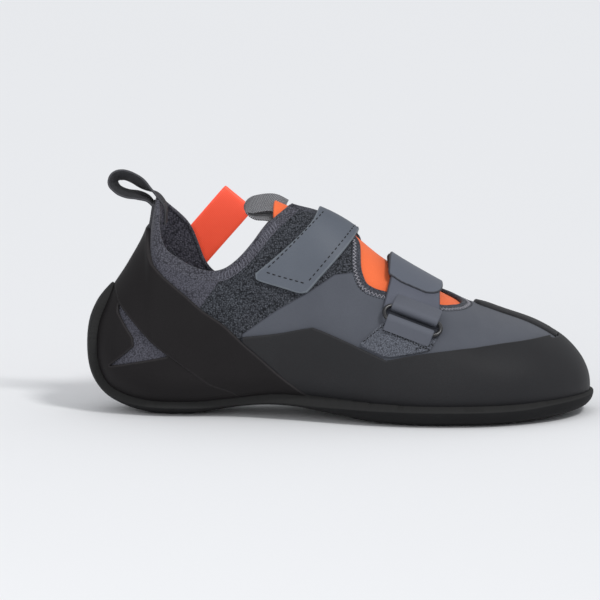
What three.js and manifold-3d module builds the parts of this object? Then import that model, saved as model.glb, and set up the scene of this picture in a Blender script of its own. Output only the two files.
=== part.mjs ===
// A climbing shoe for the right foot: a hollow upper on a rubber sole, rubber rands, a tongue, two straps,
// a ring for the lower strap and three pull loops. Millimetres, +X to the toe, +Z up, +Y to the big toe's side.
import * as THREE from 'three';
import { mergeVertices } from 'three/addons/utils/BufferGeometryUtils.js';
import Module from 'manifold-3d';

const wasm = await Module();
wasm.setup();

// Driving sizes of the last
const formLength = 256.4; // outer face of the upper, heel to toe
const ballWidth = 86.4; // outer face of the upper, across the ball
const instepHeight = 107; // outer face of the instep above the floor
const heelHeight = 112; // back of the collar above the floor
const heelSide = 26; // side of the last at the heel and ankle, from its middle
const heelToRest = 37; // back of the upper to the middle of the heel's flat spot

// Thicknesses and clearances
const clearance = 0.3; // between two pieces that touch
const upperWall = 1.8;
const randThickness = 1.6;
const bandThickness = 2.3; // the slingshot band stands a step proud of the rand
const soleThickness = 4.1; // under the foot and up the heel
const soleSide = 0.9; // how far the sole's side stands outside the rand
const flatDepth = 0.7; // how much of the sole's round is worn to the floor's plane
const insoleThickness = 3;
const tongueThickness = 2;
const strapThickness = 1.9;
const lowerStrapThickness = 2.2;
const webbing = 1.3;
const ribbonThickness = 1;

// Openings underneath
const lastingMargin = 15; // upper and rand turned in under the foot
const soleFiller = 1; // side room round the sole's raised middle

// Hardware
const ringWire = 2.4;
const ringLength = 33.5;
const ringWidth = 11;
const ringLift = 3.8; // middle of the ring off the upper
const ringSlope = 0.4; // fall of the ring's long axis for each length forward
const lowerStrapWidth = 27;

// Pull loops
const heelLoopWidth = 12;
const sideLoopWidth = 19.5;
const sideLoopLength = 52;
const sideLoopFold = 2; // between the middles of its two layers
const tongueLoopWidth = 14;

// Facets
const around = 20;
const lengthwise = 28;

const randInner = clearance;
const randOuter = randInner + randThickness;
const bandOuter = randInner + bandThickness;
const footbed = randOuter + clearance + soleThickness - flatDepth; // underside of the upper above the floor

// The last's sections. at: share of formLength. mid, half and ridge, across: shares of ballWidth. low, wide and
// high: shares of the height above the footbed. flat and crown: how square the lower and upper halves are.
const sections = [
  { at: 0.0000, mid: 0.000, half: 0.000, ridge: 0.000, low: 0.288, wide: 0.288, high: 0.288, flat: 2.1, crown: 2.0 },
  { at: 0.0035, mid: 0.000, half: 0.110, ridge: 0.000, low: 0.190, wide: 0.286, high: 0.387, flat: 2.1, crown: 2.0 },
  { at: 0.0140, mid: 0.000, half: 0.180, ridge: 0.000, low: 0.123, wide: 0.279, high: 0.460, flat: 2.1, crown: 2.0 },
  { at: 0.0350, mid: 0.000, half: 0.238, ridge: 0.000, low: 0.067, wide: 0.262, high: 0.552, flat: 2.2, crown: 2.0 },
  { at: 0.0690, mid: 0.000, half: 0.279, ridge: 0.000, low: 0.028, wide: 0.232, high: 0.680, flat: 2.3, crown: 2.0 },
  { at: 0.1050, mid: 0.000, half: 0.301, ridge: 0.000, low: 0.006, wide: 0.213, high: 0.848, flat: 2.5, crown: 2.1 },
  { at: 0.1210, mid: 0.000, half: 0.307, ridge: 0.000, low: 0.001, wide: 0.209, high: 1.030, flat: 2.5, crown: 2.2 },
  { at: 0.1500, mid: 0.000, half: 0.311, ridge: 0.000, low: 0.000, wide: 0.204, high: 1.115, flat: 2.6, crown: 2.3 },
  { at: 0.2050, mid: -0.003, half: 0.310, ridge: 0.000, low: 0.006, wide: 0.200, high: 1.140, flat: 2.6, crown: 2.3 },
  { at: 0.2700, mid: -0.012, half: 0.307, ridge: 0.000, low: 0.038, wide: 0.198, high: 1.130, flat: 2.6, crown: 2.2 },
  { at: 0.3430, mid: -0.023, half: 0.313, ridge: 0.006, low: 0.066, wide: 0.200, high: 1.090, flat: 2.7, crown: 2.0 },
  { at: 0.4020, mid: -0.029, half: 0.330, ridge: 0.012, low: 0.070, wide: 0.198, high: 1.036, flat: 2.8, crown: 1.85 },
  { at: 0.4560, mid: -0.029, half: 0.359, ridge: 0.020, low: 0.055, wide: 0.195, high: 1.000, flat: 2.9, crown: 1.8 },
  { at: 0.5150, mid: -0.026, half: 0.402, ridge: 0.032, low: 0.032, wide: 0.185, high: 0.917, flat: 3.0, crown: 1.8 },
  { at: 0.5850, mid: -0.023, half: 0.457, ridge: 0.045, low: 0.008, wide: 0.165, high: 0.772, flat: 3.1, crown: 1.85 },
  { at: 0.6630, mid: -0.018, half: 0.494, ridge: 0.070, low: 0.000, wide: 0.150, high: 0.646, flat: 3.2, crown: 1.9 },
  { at: 0.7410, mid: -0.009, half: 0.500, ridge: 0.095, low: 0.000, wide: 0.145, high: 0.538, flat: 3.2, crown: 2.0 },
  { at: 0.8190, mid: 0.003, half: 0.472, ridge: 0.125, low: 0.003, wide: 0.140, high: 0.466, flat: 3.1, crown: 2.1 },
  { at: 0.8890, mid: 0.029, half: 0.405, ridge: 0.145, low: 0.014, wide: 0.134, high: 0.402, flat: 3.0, crown: 2.2 },
  { at: 0.9430, mid: 0.061, half: 0.310, ridge: 0.150, low: 0.028, wide: 0.121, high: 0.325, flat: 2.8, crown: 2.2 },
  { at: 0.9770, mid: 0.100, half: 0.212, ridge: 0.150, low: 0.040, wide: 0.108, high: 0.240, flat: 2.5, crown: 2.2 },
  { at: 0.9950, mid: 0.130, half: 0.115, ridge: 0.145, low: 0.055, wide: 0.094, high: 0.157, flat: 2.2, crown: 2.1 },
  { at: 1.0000, mid: 0.140, half: 0.000, ridge: 0.140, low: 0.082, wide: 0.082, high: 0.082, flat: 2.1, crown: 2.0 },
];
const lastRow = sections.length - 1;

// Side-view outlines as [share of formLength, share of the height above the footbed].
const collarLine = {
  lateral: [[-0.1, 1.02], [0.1, 1.02], [0.118, 1.0], [0.119, 0.88], [0.135, 0.79], [0.158, 0.752], [0.184, 0.718],
    [0.209, 0.695], [0.23, 0.686], [0.25, 0.692], [0.27, 0.713], [0.295, 0.768], [0.318, 0.838], [0.343, 0.925],
    [0.367, 0.99], [0.4, 1.05], [0.41, 1.8], [-0.1, 1.8]],
  medial: [[-0.1, 1.02], [0.1, 1.02], [0.122, 1.0], [0.139, 0.965], [0.159, 0.926], [0.177, 0.882], [0.188, 0.83],
    [0.197, 0.755], [0.21, 0.66], [0.232, 0.6], [0.256, 0.605], [0.281, 0.66], [0.305, 0.745], [0.328, 0.84],
    [0.353, 0.925], [0.4, 1.05], [0.41, 1.8], [-0.1, 1.8]],
};
const randLine = {
  lateral: [[0.303, 0.375], [0.372, 0.405], [0.436, 0.44], [0.456, 0.438], [0.518, 0.38], [0.594, 0.302],
    [0.608, 0.298], [0.672, 0.33], [0.797, 0.361], [0.877, 0.369], [0.925, 0.366], [0.948, 0.345], [1.1, 0.3],
    [1.1, -0.4], [0.303, -0.4]],
  medial: [[0.303, 0.375], [0.372, 0.41], [0.436, 0.43], [0.456, 0.43], [0.518, 0.4], [0.594, 0.365],
    [0.608, 0.36], [0.672, 0.352], [0.797, 0.362], [0.877, 0.369], [0.925, 0.366], [0.948, 0.345], [1.1, 0.3],
    [1.1, -0.4], [0.303, -0.4]],
};
const bandFront = [[0.108, 0.812], [0.12, 0.715], [0.15, 0.642], [0.189, 0.56], [0.219, 0.498], [0.263, 0.43],
  [0.304, 0.344], [0.338, 0.277], [0.375, 0.2], [0.411, 0.127], [0.433, 0.083], [0.46, 0.02], [0.5, -0.4]];
const bandRear = [[0.2, -0.4], [0.2, 0.1], [0.19, 0.2], [0.153, 0.262], [0.117, 0.332], [0.091, 0.395],
  [0.046, 0.512], [0.02, 0.6], [-0.1, 0.72]];
const heelWindow = [[0.044, 0.508], [0.09, 0.39], [0.115, 0.328], [0.15, 0.262], [0.08, 0.228], [0.024, 0.196],
  [0.061, 0.27], [0.078, 0.308], [0.076, 0.35], [0.06, 0.405], [0.043, 0.47]];
const soleLine = [[0.047, 0.646], [0.02, 0.54], [-0.001, 0.42], [-0.0065, 0.272], [0.0, 0.166], [0.017, 0.09],
  [0.046, 0.054], [0.081, 0.033], [0.123, 0.026], [0.175, 0.026], [0.227, 0.028], [0.278, 0.044], [0.327, 0.06],
  [0.377, 0.07], [0.454, 0.054], [0.529, 0.05], [0.632, 0.046], [0.74, 0.044], [0.867, 0.042], [0.917, 0.05],
  [0.968, 0.058], [1.1, 0.066], [1.1, -0.4], [-0.2, -0.4], [-0.2, 0.646]];
const upperStrapBand = {
  lateral: [[0.33, 0.672], [0.42, 0.616], [0.436, 0.622], [0.548, 0.96], [0.6, 1.5], [0.505, 1.5],
    [0.452, 1.0], [0.328, 0.706]],
  medial: [[0.37, 0.5], [0.47, 0.49], [0.478, 0.52], [0.54, 0.92], [0.6, 1.5], [0.505, 1.5], [0.45, 1.0],
    [0.375, 0.54]],
};
const lowerStrapBand = {
  lateral: [[0.592, 0.566], [0.707, 0.449], [0.7, 0.66], [0.705, 1.2], [0.603, 1.2], [0.6, 0.74]],
  medial: [[0.592, 0.42], [0.7, 0.42], [0.697, 0.66], [0.705, 1.2], [0.603, 1.2], [0.602, 0.74]],
};
const keeperPatch = [[0.602, 0.505], [0.543, 0.368], [0.594, 0.314], [0.61, 0.31], [0.69, 0.346], [0.706, 0.41]];

// Plan-view outlines as [share of formLength, share of ballWidth], lateral side first.
const throatOutline = [[0.33, 0.0], [0.5, 0.0], [0.538, -0.05], [0.542, -0.21], [0.554, -0.265], [0.575, -0.268],
  [0.616, -0.245], [0.671, -0.2], [0.714, -0.14], [0.741, -0.04], [0.75, 0.05], [0.741, 0.13], [0.714, 0.21],
  [0.671, 0.26], [0.616, 0.29], [0.575, 0.3], [0.552, 0.295], [0.537, 0.25], [0.533, 0.1], [0.33, 0.1]];
const tongueOutline = [[0.362, -0.12], [0.38, -0.19], [0.52, -0.3], [0.58, -0.34], [0.7, -0.27], [0.79, -0.1],
  [0.8, 0.08], [0.79, 0.22], [0.7, 0.33], [0.58, 0.375], [0.52, 0.34], [0.38, 0.22], [0.362, 0.14]];
const toePatchOutline = [[0.775, 0.09], [0.86, 0.12], [0.96, 0.1], [0.96, 0.8], [0.79, 0.8], [0.76, 0.4]];

const mix = (a, b, t) => a + (b - a) * t;
const smooth = (from, to, x) => {
  const t = Math.min(Math.max((x - from) / (to - from), 0), 1);
  return t * t * (3 - 2 * t);
};

// Height above the footbed that the shares are of: the heel's at the back, the instep's from the middle on.
const tallness = (at) => mix(heelHeight, instepHeight, smooth(0.2, 0.4, at)) - footbed;
const height = (at, share) => footbed + share * tallness(at);

// Row number i of the table; past an end it is the mirror image of the end, so that the last closes roundly.
function mirroredRow(i) {
  if (i >= 0 && i <= lastRow) return sections[i];
  const row = sections[i < 0 ? -i : 2 * lastRow - i];
  const end = sections[i < 0 ? 0 : lastRow];
  const swap = (name) => 2 * end[name] - row[name];
  return { ...row, mid: swap('mid'), half: -row.half, ridge: swap('ridge'), low: row.high, high: row.low };
}

// The section at any place s along the rows, in millimetres.
function sectionAt(s) {
  const i = Math.min(Math.floor(s), lastRow - 1);
  const t = s - i;
  const rows = [mirroredRow(i - 1), mirroredRow(i), mirroredRow(i + 1), mirroredRow(i + 2)];
  const column = (name) => {
    const [a, b, c, d] = rows.map((row) => row[name]);
    return b + 0.5 * t * (c - a + t * (2 * a - 5 * b + 4 * c - d + t * (3 * (b - c) + d - a)));
  };
  const at = column('at');
  return {
    at,
    x: at * formLength,
    mid: column('mid') * ballWidth,
    half: Math.max(column('half'), 0) * ballWidth,
    ridge: column('ridge') * ballWidth,
    low: height(at, column('low')),
    wide: height(at, column('wide')),
    high: height(at, column('high')),
    flat: column('flat'),
    crown: column('crown'),
  };
}

// A point on a section: angle 0 is the middle underneath, a quarter turn the lateral side, a half turn the ridge.
function sectionPoint(section, angle, flat = section.flat) {
  const side = Math.sin(angle);
  const down = Math.cos(angle);
  const power = down > 0 ? flat : section.crown;
  const reach = (Math.abs(side) ** power + Math.abs(down) ** power) ** (-1 / power);
  const z = section.wide - (down > 0 ? section.wide - section.low : section.high - section.wide) * reach * down;
  const rise = Math.max(0, z - section.wide) / Math.max(section.high - section.wide, 1e-6);
  const y = section.mid - section.half * reach * side + (section.ridge - section.mid) * rise * rise;
  return new THREE.Vector3(section.x, y, z);
}

// Outward direction of the last at s and angle.
function outward(s, angle, squareness) {
  if (s <= 0) return new THREE.Vector3(-1, 0, 0);
  if (s >= lastRow) return new THREE.Vector3(1, 0, 0);
  const step = 0.02;
  const at = (ds, da) => {
    const section = sectionAt(Math.min(Math.max(s + ds, 0), lastRow));
    return sectionPoint(section, angle + da, squareness ? squareness(section) : section.flat);
  };
  const along = at(step, 0).sub(at(-step, 0));
  const about = at(0, step).sub(at(0, -step));
  return along.cross(about).normalize();
}

// A closed solid from points and triangles, turned to face outwards.
function solidFrom(points, triangles) {
  const build = (order) => new wasm.Manifold(new wasm.Mesh({
    numProp: 3,
    vertProperties: new Float32Array(points.flatMap((p) => [p.x, p.y, p.z])),
    triVerts: new Uint32Array(order),
  }));
  const made = build(triangles);
  return made.volume() > 0 ? made : build([...triangles].reverse());
}

// A larger or smaller form of the last: every point moved outwards by offset(normal) from the same facets.
// cornering draws the facets' edges together at the corners of a square section.
function lastForm(offset, squareness, cornering = 0) {
  const points = [];
  const moved = (s, angle) => {
    const section = sectionAt(s);
    const point = sectionPoint(section, angle, squareness ? squareness(section) : section.flat);
    const normal = outward(s, angle, squareness);
    return point.addScaledVector(normal, typeof offset === 'function' ? offset(normal) : offset);
  };
  const rings = lengthwise - 1;
  points.push(moved(0, 0));
  for (let i = 1; i <= rings; i++) {
    for (let j = 0; j < around; j++) {
      const angle = (j / around) * 2 * Math.PI;
      points.push(moved((i / lengthwise) * lastRow, angle + cornering * Math.sin(4 * angle)));
    }
  }
  points.push(moved(lastRow, 0));
  const triangles = [];
  const vertex = (ring, j) => 1 + (ring - 1) * around + (j % around);
  for (let j = 0; j < around; j++) {
    triangles.push(0, vertex(1, j), vertex(1, j + 1));
    triangles.push(points.length - 1, vertex(rings, j + 1), vertex(rings, j));
    for (let i = 1; i < rings; i++) {
      triangles.push(vertex(i, j), vertex(i + 1, j + 1), vertex(i, j + 1));
      triangles.push(vertex(i, j), vertex(i + 1, j), vertex(i + 1, j + 1));
    }
  }
  return solidFrom(points, triangles);
}

// A layer between two forms of the last.
const layer = (inner, outer) => lastForm(outer).subtract(lastForm(inner));

// A solid through like outlines (lists of Vector2), each placed in space by its own function.
function loftThrough(outlines, places) {
  const clockwise = THREE.ShapeUtils.isClockWise(outlines[0]);
  const loops = outlines.map((outline) => (clockwise ? [...outline].reverse() : outline));
  const count = loops[0].length;
  const points = loops.flatMap((loop, k) => loop.map(places[k]));
  const lastLoop = (loops.length - 1) * count;
  const triangles = [];
  for (const [a, b, c] of THREE.ShapeUtils.triangulateShape(loops[0], [])) {
    triangles.push(a, b, c, lastLoop + a, lastLoop + c, lastLoop + b);
  }
  for (let base = 0; base < lastLoop; base += count) {
    for (let i = 0; i < count; i++) {
      const [a, b] = [base + i, base + ((i + 1) % count)];
      triangles.push(a, count + b, b, a, count + a, count + b);
    }
  }
  return solidFrom(points, triangles);
}

// A cutter seen from the side: the lateral outline over one side of the shoe, the medial one over the other.
function sideCutter(lateral, medial = lateral) {
  const flatten = (outline) => outline.map(([at, share]) => new THREE.Vector2(at * formLength, height(at, share)));
  const placeAt = (y) => (p) => new THREE.Vector3(p.x, y, p.y);
  const [side, otherSide] = [flatten(lateral), flatten(medial)];
  return loftThrough(
    [side, side, otherSide, otherSide],
    [-ballWidth, -heelSide, heelSide, ballWidth].map(placeAt),
  );
}

// A cutter seen from above, between two heights.
function planCutter(outline, bottom, top) {
  const flatten = outline.map(([at, share]) => new THREE.Vector2(at * formLength, share * ballWidth));
  const placeAt = (z) => (p) => new THREE.Vector3(p.x, p.y, z);
  return loftThrough([flatten, flatten], [placeAt(bottom), placeAt(top)]);
}

// The sole's footprint moved in by inset, as a plan outline round the foot.
function footprint(inset) {
  const lateral = [];
  const medial = [];
  for (let s = 3; s <= lastRow - 1; s += 1) {
    const section = sectionAt(s);
    const half = section.half - inset;
    if (half <= 2) continue;
    const end = Math.min(section.x, formLength - section.x);
    if (end < inset) continue;
    lateral.push([section.at, (section.mid - half) / ballWidth]);
    medial.unshift([section.at, (section.mid + half) / ballWidth]);
  }
  return [...lateral, ...medial];
}

// The line a given height above the last's underside, as a side outline that is closed far below.
function aboveFootLine(lift) {
  const line = sections.slice(4, -2).map((row) => {
    const z = Math.min(height(row.at, row.low) + lift, height(row.at, mix(row.low, row.high, 0.5)));
    return [row.at, (z - footbed) / tallness(row.at)];
  });
  return [[-0.2, line[0][1]], ...line, [1.2, line.at(-1)[1] + 0.01], [1.2, -0.4], [-0.2, -0.4]];
}

const farAbove = instepHeight + heelHeight;
const farBelow = -heelHeight;
const underfoot = height(0.3, 0.14); // above the whole underside of the last, below its sides
const overfoot = height(0.9, 0.25); // below the whole of the instep's ridge

function makeUpper() {
  const openings = [
    sideCutter(collarLine.lateral, collarLine.medial),
    planCutter(throatOutline, overfoot, farAbove),
    planCutter(footprint(lastingMargin), farBelow, underfoot),
  ];
  return openings.reduce((wall, opening) => wall.subtract(opening), layer(-upperWall, 0));
}

// The rubber covers lie on the upper, and like it are open where the sole is raised to the footbed.
const underOpening = () => planCutter(footprint(lastingMargin), farBelow, underfoot);
const movedLine = (line, along, up = 0) =>
  line.map(([at, share]) => [at + along / formLength, share + up / heelHeight]);

// The slingshot band's place, with a margin round it.
function bandRegion(margin) {
  const front = movedLine(bandFront, margin, margin);
  const rear = movedLine(bandRear, -margin, -margin);
  return sideCutter([...front, ...rear]);
}

function makeSlingshotBand() {
  return layer(randInner, bandOuter).intersect(bandRegion(0)).subtract(underOpening());
}

function makeFrontRand() {
  const front = movedLine(bandFront, clearance);
  return layer(randInner, randOuter)
    .intersect(sideCutter(randLine.lateral, randLine.medial))
    .intersect(sideCutter([...front, [1.2, -0.4], [1.2, 0.812]]))
    .subtract(underOpening());
}

function makeHeelCup() {
  const rear = movedLine(bandRear, -clearance, -clearance);
  return layer(randInner, randOuter)
    .intersect(sideCutter([...rear, [-0.2, 0.6], [-0.2, -0.4]]))
    .subtract(sideCutter(heelWindow))
    .subtract(underOpening());
}

function makeToePatch() {
  const above = movedLine(randLine.medial.slice(0, -3), 0, clearance);
  return layer(randInner, randOuter)
    .intersect(planCutter(toePatchOutline, farBelow, farAbove))
    .intersect(sideCutter([...above, [1.1, 0.34], [1.1, 1.5], [0.303, 1.5]]));
}

// The sole is squarer underneath than the last, and thicker below and behind than at its sides.
const treadCornering = 0.2;
const treadSquareness = (section) => mix(section.flat, 14, smooth(0.06, 0.2, section.at));
const soleOffset = (normal) => {
  const under = Math.min(1, Math.hypot(Math.min(normal.x, 0), Math.min(normal.z, 0)));
  return mix(randOuter + soleSide, randOuter + clearance + soleThickness, under);
};

// Its middle is raised into the opening under the upper, up to the insole.
function makeOutsole() {
  const raised = planCutter(footprint(lastingMargin + soleFiller), farBelow, underfoot);
  const footRoom = lastForm(randOuter + clearance)
    .add(lastForm(bandOuter + clearance).intersect(bandRegion(clearance)))
    .subtract(raised)
    .add(lastForm(-upperWall));
  const floor = planCutter([[-0.5, -2], [1.5, -2], [1.5, 2], [-0.5, 2]], farBelow, 0);
  return lastForm(soleOffset, treadSquareness, treadCornering)
    .intersect(sideCutter(soleLine).add(raised))
    .subtract(footRoom)
    .subtract(floor);
}

function makeInsole() {
  return lastForm(-upperWall - clearance)
    .intersect(sideCutter(aboveFootLine(upperWall + clearance + insoleThickness)));
}

function makeTongue() {
  const top = -upperWall - clearance;
  return layer(top - tongueThickness, top).intersect(planCutter(tongueOutline, overfoot, farAbove));
}

function makeUpperStrap() {
  return layer(clearance, clearance + strapThickness)
    .intersect(sideCutter(upperStrapBand.lateral, upperStrapBand.medial));
}

// Finds where a rising function passes a value.
function solve(rising, value, from, to) {
  let [low, high] = [from, to];
  for (let i = 0; i < 40; i++) {
    const middle = (low + high) / 2;
    if (rising(middle) < value) low = middle;
    else high = middle;
  }
  return (low + high) / 2;
}

// A frame on the last's side (1 lateral, -1 medial), seen in a side view at shares of length and height, lifted
// off the surface: X runs forwards with the given fall, Z outwards.
function frameOnSide(at, share, side, lift, fall) {
  const s = solve((v) => sectionAt(v).at, at, 0, lastRow);
  const section = sectionAt(s);
  const angle = side * solve((v) => sectionPoint(section, side * v).z, height(at, share), 0, Math.PI);
  const normal = outward(s, angle);
  const long = new THREE.Vector3(1, 0, -fall);
  long.addScaledVector(normal, -long.dot(normal)).normalize();
  const up = normal.clone().cross(long);
  const frame = new THREE.Matrix4().makeBasis(long, up, normal);
  return frame.setPosition(sectionPoint(section, angle).addScaledVector(normal, lift));
}

function solidOf(geometry, frame = new THREE.Matrix4()) {
  const bare = geometry.clone().deleteAttribute('normal').deleteAttribute('uv');
  const merged = mergeVertices(bare, 1e-4).applyMatrix4(frame);
  const position = merged.attributes.position;
  const points = Array.from({ length: position.count }, (_, i) => new THREE.Vector3().fromBufferAttribute(position, i));
  return solidFrom(points, Array.from(merged.index.array));
}

// The ring and the pieces round its two long bars share a frame on the lateral side.
const ringFrame = frameOnSide(0.6503, 0.468, 1, ringLift, ringSlope);
const barOffset = (ringWidth - ringWire) / 2;

function makeRing(wire = ringWire) {
  const straight = (ringLength - ringWidth) / 2;
  const points = Array.from({ length: 20 }, (_, k) => {
    const turn = ((k + 0.5) / 20) * 2 * Math.PI;
    return new THREE.Vector3(Math.sign(Math.cos(turn)) * straight + barOffset * Math.cos(turn),
      barOffset * Math.sin(turn), 0);
  });
  const path = new THREE.CatmullRomCurve3(points, true);
  return solidOf(new THREE.TubeGeometry(path, 22, wire / 2, 7, true), ringFrame);
}

// Webbing wound round one of the ring's bars.
function barCylinder(radius, length, side) {
  const geometry = new THREE.CylinderGeometry(radius, radius, length, 12).rotateZ(Math.PI / 2);
  return solidOf(geometry.translate(0, side * barOffset, 0), ringFrame);
}
const ringRoom = () => makeRing(ringWire + 2 * clearance);
const windingRadius = ringWire / 2 + clearance + webbing;

function makeLowerStrap() {
  return layer(clearance, clearance + lowerStrapThickness)
    .intersect(sideCutter(lowerStrapBand.lateral, lowerStrapBand.medial))
    .add(barCylinder(windingRadius, lowerStrapWidth - webbing, 1))
    .subtract(ringRoom());
}

function makeRingKeeper() {
  return layer(clearance, clearance + webbing)
    .intersect(sideCutter(keeperPatch))
    .intersect(planCutter([[0, -1], [1, -1], [1, 0], [0, 0]], farBelow, farAbove))
    .add(barCylinder(windingRadius, lowerStrapWidth - webbing, -1))
    .subtract(ringRoom());
}

// A flat ribbon along points in the shoe's middle plane, or moved by a frame. Its width lies straight across,
// turned about the ribbon by lean, one angle at each end.
function makeRibbon(points, width, thickness, lean, steps, frame = new THREE.Matrix4()) {
  const curve = new THREE.CatmullRomCurve3(points.map(([x, z]) => new THREE.Vector3(x, 0, z)));
  const rings = [];
  for (let i = 0; i <= steps; i++) {
    const share = i / steps;
    const middle = curve.getPointAt(share);
    const tangent = curve.getTangentAt(share);
    const across = new THREE.Vector3(0, -1, 0).applyAxisAngle(tangent, lean(share));
    const face = tangent.clone().cross(across);
    rings.push([[-1, -1], [1, -1], [1, 1], [-1, 1]].map(([a, b]) => middle.clone()
      .addScaledVector(across, (a * width) / 2)
      .addScaledVector(face, (b * thickness) / 2)
      .applyMatrix4(frame)));
  }
  const flatEnd = [[-1, -1], [1, -1], [1, 1], [-1, 1]].map(([x, y]) => new THREE.Vector2(x, y));
  return loftThrough(rings.map(() => flatEnd), rings.map((ring) => (_, k) => ring[k]));
}

// A route given from the place that a loop is sewn to.
const routeFrom = ([x, z], route) => route.map(([along, up]) => [x + along, z + up]);
const collarBack = [collarLine.lateral[2][0] * formLength, heelHeight];
const tongueEnd = [tongueOutline[0][0] * formLength, instepHeight];

// The heel's pull loop, from the outside of the collar's back, round, and over the edge to the inside.
const heelLoopRoute = routeFrom(collarBack, [[-3.9, -13], [-2.9, -6], [-5, -0.5], [-11.3, 2.2], [-18.3, 3.6],
  [-23.8, 6], [-26.5, 9.5], [-24.8, 12.6], [-20.3, 13.4], [-13.3, 11.4], [-5.3, 6.7], [0.7, 2.8], [4.7, -3],
  [4.9, -12]]);

function makeHeelLoop() {
  const lean = (share) => -0.63 * smooth(0.1, 0.35, share) * (1 - smooth(0.6, 0.8, share));
  return makeRibbon(heelLoopRoute, heelLoopWidth, webbing, lean, 24);
}

// The tongue's pull loop, from the top of its end round to below it.
const tongueLoopRoute = routeFrom(tongueEnd, [[4.7, 5.3], [-0.8, 7.3], [-7.8, 5.8], [-14.3, 2.4],
  [-15.8, -0.4], [-12.3, -2.2], [-3.8, -3]]);

function makeTongueLoop() {
  const lean = (share) => 0.45 * smooth(0, 0.3, share);
  return makeRibbon(tongueLoopRoute, tongueLoopWidth, ribbonThickness, lean, 18);
}

// The side pull loop is one ribbon folded at its top, sewn to the outside of the collar's medial side.
function makeSideLoop() {
  const half = sideLoopLength / 2;
  const fold = sideLoopFold / 2;
  const route = [[-half, -fold], [0, -fold], [half - fold, -fold], [half, 0], [half - fold, fold], [0, fold],
    [-half, fold]];
  const foot = frameOnSide(0.15, 0.6, -1, bandOuter + clearance + ribbonThickness / 2 + fold, 0);
  const lengthways = new THREE.Vector3(0.645, 0, 0.764);
  const outwards = new THREE.Vector3().setFromMatrixColumn(foot, 2);
  lengthways.addScaledVector(outwards, -lengthways.dot(outwards)).normalize();
  const frame = new THREE.Matrix4().makeBasis(lengthways, lengthways.clone().cross(outwards).negate(), outwards);
  frame.setPosition(new THREE.Vector3().setFromMatrixPosition(foot).addScaledVector(lengthways, half));
  return makeRibbon(route, sideLoopWidth, ribbonThickness, () => 0, 22, frame);
}

function geometryOf(solid) {
  const mesh = solid.getMesh();
  return new THREE.BufferGeometry()
    .setAttribute('position', new THREE.BufferAttribute(mesh.vertProperties, 3))
    .setIndex(new THREE.BufferAttribute(mesh.triVerts, 1));
}

const finish = {
  fabric: new THREE.MeshStandardMaterial({ color: 0x5f636c, roughness: 0.9 }),
  rubber: new THREE.MeshStandardMaterial({ color: 0x2d2d2f, roughness: 0.6 }),
  strap: new THREE.MeshStandardMaterial({ color: 0x636a74, roughness: 0.6 }),
  webbing: new THREE.MeshStandardMaterial({ color: 0x464648, roughness: 0.8 }),
  bright: new THREE.MeshStandardMaterial({ color: 0xfb6d45, roughness: 0.8 }),
  wire: new THREE.MeshStandardMaterial({ color: 0x1c1c1f, roughness: 0.4 }),
};

const shoe = new THREE.Group();
function addPiece(name, solid, material) {
  const mesh = new THREE.Mesh(geometryOf(solid), material);
  mesh.name = name;
  shoe.add(mesh);
}

addPiece('upper', makeUpper(), finish.fabric);
addPiece('outsole', makeOutsole(), finish.rubber);
addPiece('front_rand', makeFrontRand(), finish.rubber);
addPiece('slingshot_band', makeSlingshotBand(), finish.rubber);
addPiece('heel_cup', makeHeelCup(), finish.rubber);
addPiece('toe_patch', makeToePatch(), finish.rubber);
addPiece('insole', makeInsole(), finish.fabric);
addPiece('tongue', makeTongue(), finish.bright);
addPiece('upper_strap', makeUpperStrap(), finish.strap);
addPiece('lower_strap', makeLowerStrap(), finish.strap);
addPiece('ring', makeRing(), finish.wire);
addPiece('ring_keeper', makeRingKeeper(), finish.strap);
addPiece('heel_loop', makeHeelLoop(), finish.webbing);
addPiece('tongue_loop', makeTongueLoop(), finish.webbing);
addPiece('side_loop', makeSideLoop(), finish.bright);
shoe.position.x = -heelToRest;

export default shoe;
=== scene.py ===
"""The looks of a climbing shoe for the right foot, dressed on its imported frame.

The soft and rubber pieces are cut from flat patterns and wrapped onto the last, which is the same form as in
the part's source. Lengths in this script are millimetres until a mesh is written, which is in metres.
"""
import math

import bmesh
import bpy
import numpy as np
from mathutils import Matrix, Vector
from mathutils.bvhtree import BVHTree


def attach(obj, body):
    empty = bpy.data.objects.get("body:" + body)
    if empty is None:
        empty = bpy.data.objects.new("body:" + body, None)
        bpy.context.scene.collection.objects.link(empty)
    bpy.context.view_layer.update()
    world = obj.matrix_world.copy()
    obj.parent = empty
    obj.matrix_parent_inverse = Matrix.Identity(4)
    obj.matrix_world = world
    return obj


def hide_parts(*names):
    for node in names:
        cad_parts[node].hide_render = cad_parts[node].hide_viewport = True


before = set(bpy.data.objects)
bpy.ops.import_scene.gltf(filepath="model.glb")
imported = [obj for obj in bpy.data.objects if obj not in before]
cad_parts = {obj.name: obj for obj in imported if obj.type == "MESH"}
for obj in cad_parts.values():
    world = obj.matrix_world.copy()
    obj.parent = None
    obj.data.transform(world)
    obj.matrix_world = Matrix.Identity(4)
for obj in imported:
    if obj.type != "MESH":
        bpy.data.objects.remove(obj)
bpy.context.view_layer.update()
bpy.ops.object.select_all(action="DESELECT")

MM = 0.001

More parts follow.
